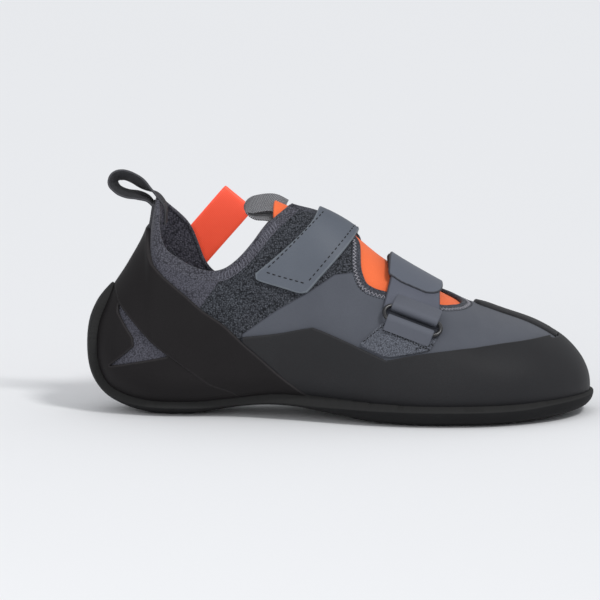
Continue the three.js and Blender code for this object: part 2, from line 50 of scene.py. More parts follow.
# Driving sizes, as in the part's source
FORM_LENGTH = 256.4
BALL_WIDTH = 86.4
INSTEP_HEIGHT = 107.0
HEEL_HEIGHT = 112.0
HEEL_SIDE = 26.0
HEEL_TO_REST = 37.0
CLEARANCE = 0.3
UPPER_WALL = 1.8
RAND_THICKNESS = 1.6
BAND_THICKNESS = 2.3
SOLE_THICKNESS = 4.1
SOLE_SIDE = 0.9
FLAT_DEPTH = 0.7
TONGUE_THICKNESS = 2.0
STRAP_THICKNESS = 1.9
LOWER_STRAP_THICKNESS = 2.2
STRAP_TAB = 0.9
WEBBING = 1.3
RIBBON = 1.0
LASTING_MARGIN = 15.0
RING_WIRE = 2.4
RING_LENGTH = 33.5
RING_WIDTH = 11.0
RING_LIFT = 3.8
RING_SLOPE = 0.4
LOWER_STRAP_WIDTH = 27.0

RAND_INNER = CLEARANCE
RAND_OUTER = RAND_INNER + RAND_THICKNESS
BAND_OUTER = RAND_INNER + BAND_THICKNESS
FOOTBED = RAND_OUTER + CLEARANCE + SOLE_THICKNESS - FLAT_DEPTH

# Cell of the wrapped patterns, before they are refined along their edges
CELL = 1.7

# The last's sections, in the columns of the part's source
COLUMNS = ("at", "mid", "half", "ridge", "low", "wide", "high", "flat", "crown")
SECTIONS = np.array([
    (0.0000, 0.000, 0.000, 0.000, 0.288, 0.288, 0.288, 2.1, 2.0),
    (0.0035, 0.000, 0.110, 0.000, 0.190, 0.286, 0.387, 2.1, 2.0),
    (0.0140, 0.000, 0.180, 0.000, 0.123, 0.279, 0.460, 2.1, 2.0),
    (0.0350, 0.000, 0.238, 0.000, 0.067, 0.262, 0.552, 2.2, 2.0),
    (0.0690, 0.000, 0.279, 0.000, 0.028, 0.232, 0.680, 2.3, 2.0),
    (0.1050, 0.000, 0.301, 0.000, 0.006, 0.213, 0.848, 2.5, 2.1),
    (0.1210, 0.000, 0.307, 0.000, 0.001, 0.209, 1.030, 2.5, 2.2),
    (0.1500, 0.000, 0.311, 0.000, 0.000, 0.204, 1.115, 2.6, 2.3),
    (0.2050, -0.003, 0.310, 0.000, 0.006, 0.200, 1.140, 2.6, 2.3),
    (0.2700, -0.012, 0.307, 0.000, 0.038, 0.198, 1.130, 2.6, 2.2),
    (0.3430, -0.023, 0.313, 0.006, 0.066, 0.200, 1.090, 2.7, 2.0),
    (0.4020, -0.029, 0.330, 0.012, 0.070, 0.198, 1.036, 2.8, 1.85),
    (0.4560, -0.029, 0.359, 0.020, 0.055, 0.195, 1.000, 2.9, 1.8),
    (0.5150, -0.026, 0.402, 0.032, 0.032, 0.185, 0.917, 3.0, 1.8),
    (0.5850, -0.023, 0.457, 0.045, 0.008, 0.165, 0.772, 3.1, 1.85),
    (0.6630, -0.018, 0.494, 0.070, 0.000, 0.150, 0.646, 3.2, 1.9),
    (0.7410, -0.009, 0.500, 0.095, 0.000, 0.145, 0.538, 3.2, 2.0),
    (0.8190, 0.003, 0.472, 0.125, 0.003, 0.140, 0.466, 3.1, 2.1),
    (0.8890, 0.029, 0.405, 0.145, 0.014, 0.134, 0.402, 3.0, 2.2),
    (0.9430, 0.061, 0.310, 0.150, 0.028, 0.121, 0.325, 2.8, 2.2),
    (0.9770, 0.100, 0.212, 0.150, 0.040, 0.108, 0.240, 2.5, 2.2),
    (0.9950, 0.130, 0.115, 0.145, 0.055, 0.094, 0.157, 2.2, 2.1),
    (1.0000, 0.140, 0.000, 0.140, 0.082, 0.082, 0.082, 2.1, 2.0),
])
LAST_ROW = len(SECTIONS) - 1

# Lines seen from the side, as shares of length and of height above the footbed
COLLAR_LATERAL = [(-0.1, 1.02), (0.1, 1.02), (0.118, 1.0), (0.119, 0.88), (0.135, 0.79), (0.158, 0.752),
                  (0.184, 0.718), (0.209, 0.695), (0.23, 0.686), (0.25, 0.692), (0.27, 0.713), (0.295, 0.768),
                  (0.318, 0.838), (0.343, 0.925), (0.367, 0.99), (0.4, 1.05)]
COLLAR_MEDIAL = [(-0.1, 1.02), (0.1, 1.02), (0.122, 1.0), (0.139, 0.965), (0.159, 0.926), (0.177, 0.882),
                 (0.188, 0.83), (0.197, 0.755), (0.21, 0.66), (0.232, 0.6), (0.256, 0.605), (0.281, 0.66),
                 (0.305, 0.745), (0.328, 0.84), (0.353, 0.925), (0.4, 1.05)]
COLLAR_CLOSE = [(0.41, 1.8), (-0.1, 1.8)]
RAND_LATERAL = [(0.303, 0.375), (0.372, 0.405), (0.436, 0.44), (0.456, 0.438), (0.518, 0.38), (0.594, 0.302),
                (0.608, 0.298), (0.672, 0.33), (0.797, 0.361), (0.877, 0.369), (0.925, 0.366), (0.948, 0.345),
                (1.1, 0.3)]
RAND_MEDIAL = [(0.303, 0.375), (0.372, 0.41), (0.436, 0.43), (0.456, 0.43), (0.518, 0.4), (0.594, 0.365),
               (0.608, 0.36), (0.672, 0.352), (0.797, 0.362), (0.877, 0.369), (0.925, 0.366), (0.948, 0.345),
               (1.1, 0.3)]
RAND_CLOSE = [(1.1, -0.4), (0.303, -0.4)]
BAND_FRONT = [(0.1, 0.872), (0.105, 0.755), (0.132, 0.677), (0.16, 0.618), (0.189, 0.56), (0.219, 0.498),
              (0.263, 0.43), (0.304, 0.344), (0.338, 0.277), (0.375, 0.2), (0.411, 0.127), (0.433, 0.083),
              (0.46, 0.02), (0.5, -0.4)]
BAND_REAR = [(0.33, -0.4), (0.3, 0.02), (0.23, 0.13), (0.153, 0.262), (0.117, 0.332), (0.091, 0.395),
             (0.046, 0.512), (0.02, 0.6), (-0.1, 0.72)]
HEEL_WINDOW = [(0.044, 0.508), (0.09, 0.39), (0.115, 0.328), (0.15, 0.262), (0.08, 0.228), (0.024, 0.196),
               (0.061, 0.27), (0.078, 0.308), (0.076, 0.35), (0.06, 0.405), (0.043, 0.47)]
SOLE_TOP = [(0.058, 0.668), (0.018, 0.56), (-0.0095, 0.42), (-0.0165, 0.272), (-0.009, 0.155),
            (0.01, 0.07), (0.043, 0.024), (0.081, 0.003), (0.123, -0.006), (0.175, -0.007), (0.227, -0.004),
            (0.278, 0.01), (0.327, 0.026), (0.377, 0.038), (0.454, 0.032), (0.529, 0.034), (0.632, 0.034),
            (0.74, 0.034), (0.867, 0.036), (0.917, 0.044), (0.968, 0.053), (1.1, 0.06)]
SOLE_CLOSE = [(1.1, -0.4), (-0.2, -0.4), (-0.2, 0.668)]
UPPER_STRAP = {
    "lateral": [(0.33, 0.672), (0.42, 0.616), (0.436, 0.622), (0.548, 0.96), (0.6, 1.5), (0.505, 1.5),
                (0.452, 1.0), (0.328, 0.706)],
    "medial": [(0.37, 0.5), (0.47, 0.49), (0.478, 0.52), (0.54, 0.92), (0.6, 1.5), (0.505, 1.5), (0.45, 1.0),
               (0.375, 0.54)],
}
LOWER_STRAP = {
    "lateral": [(0.592, 0.556), (0.709, 0.449), (0.706, 0.66), (0.707, 1.2), (0.617, 1.2), (0.611, 0.74)],
    "medial": [(0.592, 0.42), (0.7, 0.42), (0.697, 0.66), (0.705, 1.2), (0.603, 1.2), (0.602, 0.74)],
}
STRAP_TAB_LINE = [(0.6, 0.71), (0.717, 0.584), (0.72, 1.4), (0.59, 1.4)]
KEEPER_PATCH = [(0.602, 0.505), (0.543, 0.368), (0.594, 0.314), (0.61, 0.31), (0.69, 0.346), (0.706, 0.41)]

# Lines seen from above, as shares of length and of ball width
THROAT = [(0.33, 0.0), (0.5, 0.0), (0.538, -0.05), (0.542, -0.21), (0.554, -0.265), (0.575, -0.268),
          (0.616, -0.245), (0.671, -0.2), (0.714, -0.14), (0.741, -0.04), (0.75, 0.05), (0.741, 0.13),
          (0.714, 0.21), (0.671, 0.26), (0.616, 0.29), (0.575, 0.3), (0.552, 0.295), (0.537, 0.25),
          (0.533, 0.1), (0.33, 0.1)]
TONGUE = [(0.362, -0.12), (0.38, -0.19), (0.52, -0.3), (0.58, -0.34), (0.7, -0.27), (0.79, -0.1),
          (0.8, 0.08), (0.79, 0.22), (0.7, 0.33), (0.58, 0.375), (0.52, 0.34), (0.38, 0.22), (0.362, 0.14)]
TOE_PATCH = [(0.775, 0.09), (0.86, 0.12), (0.96, 0.1), (0.96, 0.8), (0.79, 0.8), (0.76, 0.4)]


def smooth(start, end, value):
    share = np.clip((np.asarray(value, dtype=float) - start) / (end - start), 0.0, 1.0)
    return share * share * (3.0 - 2.0 * share)


def tallness(at):
    """Height above the footbed that the shares are of."""
    return HEEL_HEIGHT + (INSTEP_HEIGHT - HEEL_HEIGHT) * smooth(0.2, 0.4, at) - FOOTBED


def mirrored_rows():
    """The table with a mirror image of the row before each end, so that the last closes roundly."""
    def past(end, row):
        swapped = 2.0 * end - row
        new = row.copy()
        for name in ("mid", "ridge"):
            new[COLUMNS.index(name)] = swapped[COLUMNS.index(name)]
        new[COLUMNS.index("half")] = -row[COLUMNS.index("half")]
        new[COLUMNS.index("low")] = row[COLUMNS.index("high")]
        new[COLUMNS.index("high")] = row[COLUMNS.index("low")]
        return new
    return np.vstack([past(SECTIONS[0], SECTIONS[1]), SECTIONS, past(SECTIONS[-1], SECTIONS[-2])])


ROWS = mirrored_rows()


def section_at(place):
    """The sections at places along the rows, as a dictionary of arrays in millimetres."""
    place = np.clip(np.asarray(place, dtype=float), 0.0, LAST_ROW)
    index = np.minimum(np.floor(place).astype(int), LAST_ROW - 1)
    t = (place - index)[..., None]
    a, b, c, d = (ROWS[index + k] for k in range(4))
    row = b + 0.5 * t * (c - a + t * (2 * a - 5 * b + 4 * c - d + t * (3 * (b - c) + d - a)))
    column = dict(zip(COLUMNS, np.moveaxis(row, -1, 0)))
    tall = tallness(column["at"])
    return {
        "at": column["at"],
        "x": column["at"] * FORM_LENGTH,
        "mid": column["mid"] * BALL_WIDTH,
        "half": np.maximum(column["half"], 0.0) * BALL_WIDTH,
        "ridge": column["ridge"] * BALL_WIDTH,
        "low": FOOTBED + column["low"] * tall,
        "wide": FOOTBED + column["wide"] * tall,
        "high": FOOTBED + column["high"] * tall,
        "flat": column["flat"],
        "crown": column["crown"],
    }


def tread_square(section):
    """How square the sole's sections are underneath."""
    return section["flat"] + (6.0 - section["flat"]) * smooth(0.25, 0.55, section["at"])


def section_point(place, angle, square=None):
    section = section_at(place)
    flat = square(section) if square else section["flat"]
    side = np.sin(angle)
    down = np.cos(angle)
    power = np.where(down > 0, flat, section["crown"])
    reach = (np.abs(side) ** power + np.abs(down) ** power) ** (-1.0 / power)
    fall = np.where(down > 0, section["wide"] - section["low"], section["high"] - section["wide"])
    z = section["wide"] - fall * reach * down
    rise = np.maximum(0.0, z - section["wide"]) / np.maximum(section["high"] - section["wide"], 1e-6)
    y = section["mid"] - section["half"] * reach * side + (section["ridge"] - section["mid"]) * rise ** 2
    return np.stack([section["x"], y, z], axis=-1)


def outward(place, angle, square=None):
    step = 0.02
    along = section_point(place + step, angle, square) - section_point(place - step, angle, square)
    about = section_point(place, angle + step, square) - section_point(place, angle - step, square)
    normal = np.cross(along, about)
    length = np.linalg.norm(normal, axis=-1, keepdims=True)
    normal = normal / np.maximum(length, 1e-9)
    ends = (place < 1e-4) | (place > LAST_ROW - 1e-4)
    normal[ends] = 0.0
    normal[ends, 0] = np.where(place[ends] < 1.0, -1.0, 1.0)
    return normal


# Distance over the last from heel to toe, to lay patterns out evenly
DENSE_PLACES = np.linspace(0.0, LAST_ROW, 1501)
dense = section_at(DENSE_PLACES)
DENSE_RUN = np.concatenate([[0.0], np.cumsum(np.sqrt(
    np.diff(dense["x"]) ** 2 + (0.6 * np.diff(dense["high"])) ** 2 + (0.6 * np.diff(dense["half"])) ** 2))])
RUN_LENGTH = DENSE_RUN[-1]
TURN_LENGTH = 280.0  # a pattern's width, once round the last


def place_of(run):
    return np.interp(run, DENSE_RUN, DENSE_PLACES)


def angle_of(turn):
    return turn / TURN_LENGTH * 2.0 * math.pi


def curve_through(points, pieces=6):
    """A line through points, rounded at each of them."""
    points = np.array(points, dtype=float)
    padded = np.vstack([2 * points[0] - points[1], points, 2 * points[-1] - points[-2]])
    line = []
    for k in range(len(points) - 1):
        a, b, c, d = padded[k:k + 4]
        for t in np.arange(pieces) / pieces:
            line.append(b + 0.5 * t * (c - a + t * (2 * a - 5 * b + 4 * c - d + t * (3 * (b - c) + d - a))))
    return [tuple(p) for p in line] + [tuple(points[-1])]


def softened(points, share=0.12, rounds=2):
    """A closed outline with its corners cut round."""
    points = np.array(points, dtype=float)
    for _ in range(rounds):
        following = np.roll(points, -1, axis=0)
        points = np.stack([points + (following - points) * share, following - (following - points) * share],
                          axis=1).reshape(-1, 2)
    return [tuple(p) for p in points]


def in_side_view(outline):
    outline = np.array(outline)
    at = outline[:, 0]
    return np.stack([at * FORM_LENGTH, FOOTBED + outline[:, 1] * tallness(at)], axis=-1)


def in_plan_view(outline):
    return np.array(outline) * (FORM_LENGTH, BALL_WIDTH)


def distance_inside(points, outline):
    """Distance from points to a closed outline, above zero inside it."""
    nearest = np.full(len(points), np.inf)
    inside = np.zeros(len(points), dtype=bool)
    for a, b in zip(outline, np.roll(outline, -1, axis=0)):
        edge = b - a
        offset = points - a
        share = np.clip(offset @ edge / max(edge @ edge, 1e-12), 0.0, 1.0)
        nearest = np.minimum(nearest, np.linalg.norm(offset - share[:, None] * edge, axis=1))
        crosses = (a[1] > points[:, 1]) != (b[1] > points[:, 1])
        if abs(edge[1]) > 1e-12:
            inside ^= crosses & (points[:, 0] < a[0] + offset[:, 1] * edge[0] / edge[1])
    return np.where(inside, nearest, -nearest)


def over_surface(view, picture, normals, axes):
    """A distance in a view, turned near the outline into the distance over the sloping surface."""
    step = 0.25
    distance = view(picture)
    near = np.abs(distance) < 8.0
    gradient = np.zeros((near.sum(), 3))
    for k, axis in enumerate(axes):
        shift = np.zeros(2)
        shift[k] = step
        gradient[:, axis] = (view(picture + shift, near) - view(picture - shift, near)) / (2 * step)
    along = np.einsum("ij,ij->i", gradient, normals[near])
    slope = np.sqrt(np.maximum(np.einsum("ij,ij->i", gradient, gradient) - along ** 2, 0.04))
    distance[near] /= slope
    return distance


def seen_from_side(lateral, medial=None):
    """A region of the last given by its outlines in a side view of each side."""
    lateral = in_side_view(lateral)
    medial = lateral if medial is None else in_side_view(medial)

    def region(points, normals):
        share = np.clip((points[:, 1] + HEEL_SIDE) / (2 * HEEL_SIDE), 0.0, 1.0)

        def view(picture, chosen=slice(None)):
            outer = distance_inside(picture[chosen], lateral)
            if medial is lateral:
                return outer
            return outer * (1 - share[chosen]) + distance_inside(picture[chosen], medial) * share[chosen]
        return over_surface(view, points[:, [0, 2]], normals, (0, 2))
    return region


def seen_from_above(outline, upper_half=True):
    outline = in_plan_view(outline)
    level = FOOTBED + (0.25 if upper_half else 0.14) * (INSTEP_HEIGHT - FOOTBED)

    def region(points, normals):
        def view(picture, chosen=slice(None)):
            return distance_inside(picture[chosen], outline)
        distance = over_surface(view, points[:, [0, 1]], normals, (0, 1))
        height = points[:, 2] - level if upper_half else level - points[:, 2]
        return np.minimum(distance, height)
    return region


def both(*regions):
    return lambda points, normals: np.minimum.reduce([r(points, normals) for r in regions])


def without(region):
    return lambda points, normals: -region(points, normals)


def footprint(inset):
    """The sole's footprint moved in, as an outline from above."""
    lateral = []
    medial = []
    for row in range(3, LAST_ROW):
        section = section_at(float(row))
        half = section["half"] - inset
        end = min(section["x"], FORM_LENGTH - section["x"])
        if half <= 2 or end < inset:
            continue
        lateral.append((section["at"], (section["mid"] - half) / BALL_WIDTH))
        medial.insert(0, (section["at"], (section["mid"] + half) / BALL_WIDTH))
    return lateral + medial


def moved(line, along, up=0.0):
    return [(at + along / FORM_LENGTH, share + up / HEEL_HEIGHT) for at, share in line]


def new_object(name, mesh):
    made = bpy.data.objects.new(name, mesh)
    bpy.context.scene.collection.objects.link(made)
    return made


def apply_modifier(piece, kind, **settings):
    bpy.ops.object.select_all(action="DESELECT")
    piece.select_set(True)
    bpy.context.view_layer.objects.active = piece
    modifier = piece.modifiers.new(kind.title(), kind)
    for name, value in settings.items():
        setattr(modifier, name, value)
    bpy.ops.object.modifier_apply(modifier=modifier.name)


# Soft creases of the worn upper. at, up: place in the side view. turn: degrees.
# long, wide, deep: millimetres.
CREASES = [
    {"side": -1, "at": 0.30, "up": 0.47, "turn": 35, "long": 17, "wide": 4.5, "deep": 0.7},
    {"side": -1, "at": 0.40, "up": 0.52, "turn": 60, "long": 12, "wide": 4.0, "deep": 0.5},
    {"side": -1, "at": 0.52, "up": 0.58, "turn": -35, "long": 16, "wide": 4.5, "deep": 0.6},
    {"side": -1, "at": 0.765, "up": 0.43, "turn": -62, "long": 12, "wide": 4.0, "deep": 0.7},
    {"side": -1, "at": 0.80, "up": 0.44, "turn": -70, "long": 11, "wide": 3.5, "deep": 0.5},
    {"side": 1, "at": 0.765, "up": 0.43, "turn": -62, "long": 12, "wide": 4.0, "deep": 0.7},
    {"side": 1, "at": 0.45, "up": 0.55, "turn": 40, "long": 18, "wide": 5.0, "deep": 0.7},
    {"side": 1, "at": 0.31, "up": 0.42, "turn": 30, "long": 15, "wide": 4.5, "deep": 0.6},
    {"side": -1, "at": 0.165, "up": 0.68, "turn": 70, "long": 9, "wide": 3.0, "deep": 0.4},
]


def sag(points):
    """How far the creases draw the surface in, the same for every layer at a place."""
    depth = np.zeros(len(points))
    for crease in CREASES:
        x = crease["at"] * FORM_LENGTH
        z = FOOTBED + crease["up"] * tallness(crease["at"])
        turn = math.radians(crease["turn"])
        along = (points[:, 0] - x) * math.cos(turn) + (points[:, 2] - z) * math.sin(turn)
        across = (points[:, 2] - z) * math.cos(turn) - (points[:, 0] - x) * math.sin(turn)
        on_side = np.clip(points[:, 1] * crease["side"] / 10.0, 0.0, 1.0)
        valley = np.exp(-(along / crease["long"]) ** 2 - (across / crease["wide"]) ** 2)
        beside = (across - 2 * crease["wide"]) / crease["wide"]
        bank = 0.45 * np.exp(-(along / crease["long"]) ** 2 - beside ** 2)
        depth += crease["deep"] * on_side * (valley - bank)
    return depth


def flat_coordinates(bm):
    return np.array([vertex.co[:2] for vertex in bm.verts])


def surface_under(flat, square=None):
    place = place_of(flat[:, 0])
    angle = angle_of(flat[:, 1])
    return section_point(place, angle, square), outward(place, angle, square)


def cut_pattern(bm, measure):
    """Cuts a flat pattern along the zero line of a distance and keeps what is above zero."""
    for margin in (2.6, 1.3):
        value = dict(zip(bm.verts, measure(flat_coordinates(bm))))
        near = [face for face in bm.faces if min(abs(value[v]) for v in face.verts) < margin]
        edges = list(dict.fromkeys(edge for face in near for edge in face.edges))
        bmesh.ops.subdivide_edges(bm, edges=edges, cuts=1, use_grid_fill=True)
    value = dict(zip(bm.verts, measure(flat_coordinates(bm))))
    fresh = set()
    for edge in list(bm.edges):
        a, b = edge.verts
        if (value[a] > 0) != (value[b] > 0):
            share = value[a] / (value[a] - value[b])
            split = bmesh.utils.edge_split(edge, a, min(max(share, 0.02), 0.98))[1]
            value[split] = 0.0
            fresh.add(split)
    for face in list(bm.faces):
        crossings = [v for v in face.verts if v in fresh]
        while len(crossings) >= 2:
            a, b = crossings[:2]
            crossings = crossings[2:]
            if bm.edges.get((a, b)) is None and a in face.verts and b in face.verts:
                bmesh.utils.face_split(face, a, b)
    outside = [face for face in bm.faces if min(value[v] for v in face.verts) < 0]
    bmesh.ops.delete(bm, geom=outside, context="FACES")


def boundary_loops(bm):
    """The edges of a flat pattern, as closed lines in pattern coordinates."""
    bm.edges.index_update()
    waiting = {edge.index: edge for edge in bm.edges if edge.is_boundary}
    loops = []
    while waiting:
        edge = waiting.pop(next(iter(waiting)))
        start, here = edge.verts
        line = [start, here]
        while here is not start:
            following = next((e for e in here.link_edges if e.index in waiting), None)
            if following is None:
                break
            del waiting[following.index]
            here = following.other_vert(here)
            line.append(here)
        loops.append(np.array([v.co[:2] for v in line]))
    return loops


def wrapped(name, region, inner, top, rim=0.0, square=None, floor=None, against=None, loops=None):
    """A sheet cut to a region of the last and wrapped onto it. inner and top are the lifts of its two
    faces, in numbers or functions of points and normals. rim rounds the outer edge. against is a form that
    the inner face lies on instead. The region is measured where the outer face lies."""
    columns = round(RUN_LENGTH / CELL)
    rows = round(TURN_LENGTH / CELL)

    def lift_of(face, points, normals):
        return face(points, normals) if callable(face) else np.full(len(points), float(face))

    def measure(flat):
        points, normals = surface_under(flat, square)
        return region(points + normals * lift_of(top, points, normals)[:, None], normals)

    bm = bmesh.new()
    grid = [[bm.verts.new((RUN_LENGTH * i / columns, TURN_LENGTH * j / rows, 0.0)) for j in range(rows + 1)]
            for i in range(columns + 1)]
    near = (measure(flat_coordinates(bm)) > -3 * CELL).reshape(columns + 1, rows + 1)
    for i in range(columns):
        for j in range(rows):
            if near[i:i + 2, j:j + 2].any():
                bm.faces.new((grid[i][j], grid[i + 1][j], grid[i + 1][j + 1], grid[i][j + 1]))
    bmesh.ops.delete(bm, geom=[v for v in bm.verts if not v.link_faces], context="VERTS")
    cut_pattern(bm, measure)
    if loops is not None:
        loops[name] = boundary_loops(bm)
    mesh = bpy.data.meshes.new(name)
    bm.to_mesh(mesh)
    bm.free()
    piece = new_object(name, mesh)
    apply_modifier(piece, "SOLIDIFY", thickness=1.0, offset=1.0, use_even_offset=False)

    bm = bmesh.new()
    bm.from_mesh(piece.data)
    seams = []
    for face in bm.faces:
        middle = face.calc_center_median()
        if min(middle.y, TURN_LENGTH - middle.y) < 1e-4 or min(middle.x, RUN_LENGTH - middle.x) < 1e-4:
            seams.append(face)
    bmesh.ops.delete(bm, geom=seams, context="FACES")
    flat = np.array([vertex.co[:] for vertex in bm.verts])
    edge = measure(flat[:, :2])
    points, normals = surface_under(flat[:, :2], square)
    outer_lift = lift_of(top, points, normals)
    if rim:
        gap = 1.0 - np.clip(edge / rim, 0.0, 1.0)
        outer_lift = outer_lift - 0.8 * rim * (1.0 - np.sqrt(np.maximum(1.0 - gap ** 2, 0.0)))
    outer_place = points + normals * (outer_lift - sag(points))[:, None]
    if against:
        inner_place = np.array([against.find_nearest(Vector(spot))[0][:] for spot in outer_place])
    else:
        inner_place = points + normals * (lift_of(inner, points, normals) - sag(points))[:, None]
    place = inner_place + (outer_place - inner_place) * flat[:, 2:]
    if floor is not None:
        place[:, 2] = np.maximum(place[:, 2], floor)
    uv = bm.loops.layers.uv.new("pattern")
    for face in bm.faces:
        face.smooth = True
        face.material_index = 0 if max(v.co.z for v in face.verts) > 0.5 else 1
        for loop in face.loops:
            loop[uv].uv = loop.vert.co[:2]
    from_edge = bm.verts.layers.float.new("edge")
    for vertex, spot, distance in zip(bm.verts, place, edge):
        vertex[from_edge] = distance
        vertex.co = Vector(((spot[0] - HEEL_TO_REST) * MM, spot[1] * MM, spot[2] * MM))
    bmesh.ops.remove_doubles(bm, verts=bm.verts, dist=1e-6)
    bm.to_mesh(piece.data)
    bm.free()
    piece.data.update()
    bpy.ops.object.select_all(action="DESELECT")
    piece.select_set(True)
    bpy.context.view_layer.objects.active = piece
    bpy.ops.object.shade_smooth_by_angle(angle=math.radians(48))
    return piece


def lifted_form(lift):
    """A dense form of the last at a lift, to fit other pieces against."""
    run = np.linspace(0.0, RUN_LENGTH, 260)
    turn = np.linspace(0.0, TURN_LENGTH, 180)
    flat = np.stack(np.meshgrid(run, turn, indexing="ij"), axis=-1).reshape(-1, 2)
    points, normals = surface_under(flat)
    spots = points + normals * lift
    quads = [(i * 180 + j, (i + 1) * 180 + j, (i + 1) * 180 + j + 1, i * 180 + j + 1)
             for i in range(259) for j in range(179)]
    return BVHTree.FromPolygons([tuple(spot) for spot in spots], quads)


def mesh_piece(name, spots, faces, uvs=None, angle=48):
    """A piece from places in millimetres on the form's axes, with an optional UV for each vertex."""
    mesh = bpy.data.meshes.new(name)
    shift = np.array([HEEL_TO_REST, 0.0, 0.0])
    mesh.from_pydata([tuple(spot) for spot in (np.asarray(spots) - shift) * MM], [], faces)
    if uvs is not None:
        layer = mesh.uv_layers.new(name="pattern")
        order = np.empty(len(mesh.loops), dtype=int)
        mesh.loops.foreach_get("vertex_index", order)
        layer.data.foreach_set("uv", np.asarray(uvs)[order].astype(np.float32).ravel())
    bm = bmesh.new()
    bm.from_mesh(mesh)
    bmesh.ops.recalc_face_normals(bm, faces=bm.faces)
    bm.to_mesh(mesh)
    bm.free()
    piece = new_object(name, mesh)
    bpy.ops.object.select_all(action="DESELECT")
    piece.select_set(True)
    bpy.context.view_layer.objects.active = piece
    bpy.ops.object.shade_smooth_by_angle(angle=math.radians(angle))
    return piece


def swept(name, path, across, up, section, closed=False, angle=48):
    """A closed outline swept along a path. across and up give its frame at each point of the path, and
    section has its points along them, for the whole path or for each point. The UV runs along and round."""
    path = np.asarray(path)
    section = np.broadcast_to(np.asarray(section), (len(path),) + np.asarray(section).shape[-2:])
    count = section.shape[1]
    spots = path[:, None] + across[:, None] * section[:, :, :1] + up[:, None] * section[:, :, 1:]
    spots = spots.reshape(-1, 3)
    run = np.concatenate([[0.0], np.cumsum(np.linalg.norm(np.diff(path, axis=0), axis=1))])
    uvs = np.stack([np.repeat(run, count), section[:, :, 0].ravel()], axis=-1)
    faces = []
    last = len(path) if closed else len(path) - 1
    for i in range(last):
        here = i * count
        there = (i + 1) % len(path) * count
        for k in range(count):
            following = (k + 1) % count
            faces.append((here + k, there + k, there + following, here + following))
    if not closed:
        faces.append(tuple(range(count)))
        faces.append(tuple(len(spots) - 1 - k for k in range(count)))
    return mesh_piece(name, spots, faces, uvs, angle)


def oval(width, height, count=10):
    turn = np.arange(count) / count * 2 * math.pi
    return np.stack([np.cos(turn) * width / 2, np.sin(turn) * height / 2], axis=-1)


def tape_section(width, thickness, columns=10):
    """A flat tape's cross-section with rounded selvedges."""
    half = width / 2 - thickness / 2
    across = np.linspace(-half, half, columns)
    turn = np.linspace(-math.pi / 2, math.pi / 2, 5)[1:-1]
    right = np.stack([half + thickness / 2 * np.cos(turn), thickness / 2 * np.sin(turn)], axis=-1)
    bottom = np.stack([across, np.full(columns, -thickness / 2)], axis=-1)
    return np.vstack([bottom, right, -bottom, -right])


def unit(vectors):
    return vectors / np.maximum(np.linalg.norm(vectors, axis=-1, keepdims=True), 1e-12)


def resampled(path, spacing=None, count=None, closed=False):
    path = np.asarray(path, dtype=float)
    if closed:
        path = np.vstack([path, path[:1]])
    run = np.concatenate([[0.0], np.cumsum(np.linalg.norm(np.diff(path, axis=0), axis=1))])
    count = count or max(2, round(run[-1] / spacing) + 1)
    stops = np.linspace(0.0, run[-1], count, endpoint=not closed)
    return np.stack([np.interp(stops, run, path[:, k]) for k in range(path.shape[1])], axis=-1)


def centripetal(points, pieces=16):
    """A centripetal Catmull-Rom line, as three.js draws it."""
    points = np.array(points, dtype=float)
    padded = np.vstack([2 * points[0] - points[1], points, 2 * points[-1] - points[-2]])
    line = []
    for k in range(len(points) - 1):
        knots = padded[k:k + 4]
        gaps = np.maximum(np.linalg.norm(np.diff(knots, axis=0), axis=1) ** 0.5, 1e-4)
        first = (knots[1] - knots[0]) / gaps[0] - (knots[2] - knots[0]) / (gaps[0] + gaps[1])
        first = (first + (knots[2] - knots[1]) / gaps[1]) * gaps[1]
        second = (knots[2] - knots[1]) / gaps[1] - (knots[3] - knots[1]) / (gaps[1] + gaps[2])
        second = (second + (knots[3] - knots[2]) / gaps[2]) * gaps[1]
        for t in np.arange(pieces) / pieces:
            a, b = knots[1], knots[2]
            line.append(a + first * t + (3 * (b - a) - 2 * first - second) * t ** 2
                        + (2 * (a - b) + first + second) * t ** 3)
    return np.vstack(line + [points[-1]])


# Finding places on the last that a side view shows

def solved(value, target, low, high):
    low = np.full(len(target), low)
    high = np.full(len(target), high)
    for _ in range(30):
        middle = (low + high) / 2
        below = value(middle) < target
        low = np.where(below, middle, low)
        high = np.where(below, high, middle)
    return (low + high) / 2


def spots_from_side(outline, side, lift, square=None):
    """Points and normals on one side of the last (-1 lateral, 1 medial) from shares in a side view."""
    picture = in_side_view(outline)
    place = np.interp(picture[:, 0], dense["x"], DENSE_PLACES)

    def height(turn):
        return section_point(place, -side * turn, square)[:, 2]

    angle = -side * solved(height, picture[:, 1], 0.0, math.pi)
    points = section_point(place, angle, square)
    normals = outward(place, angle, square)
    return points + normals * (lift - sag(points))[:, None], normals


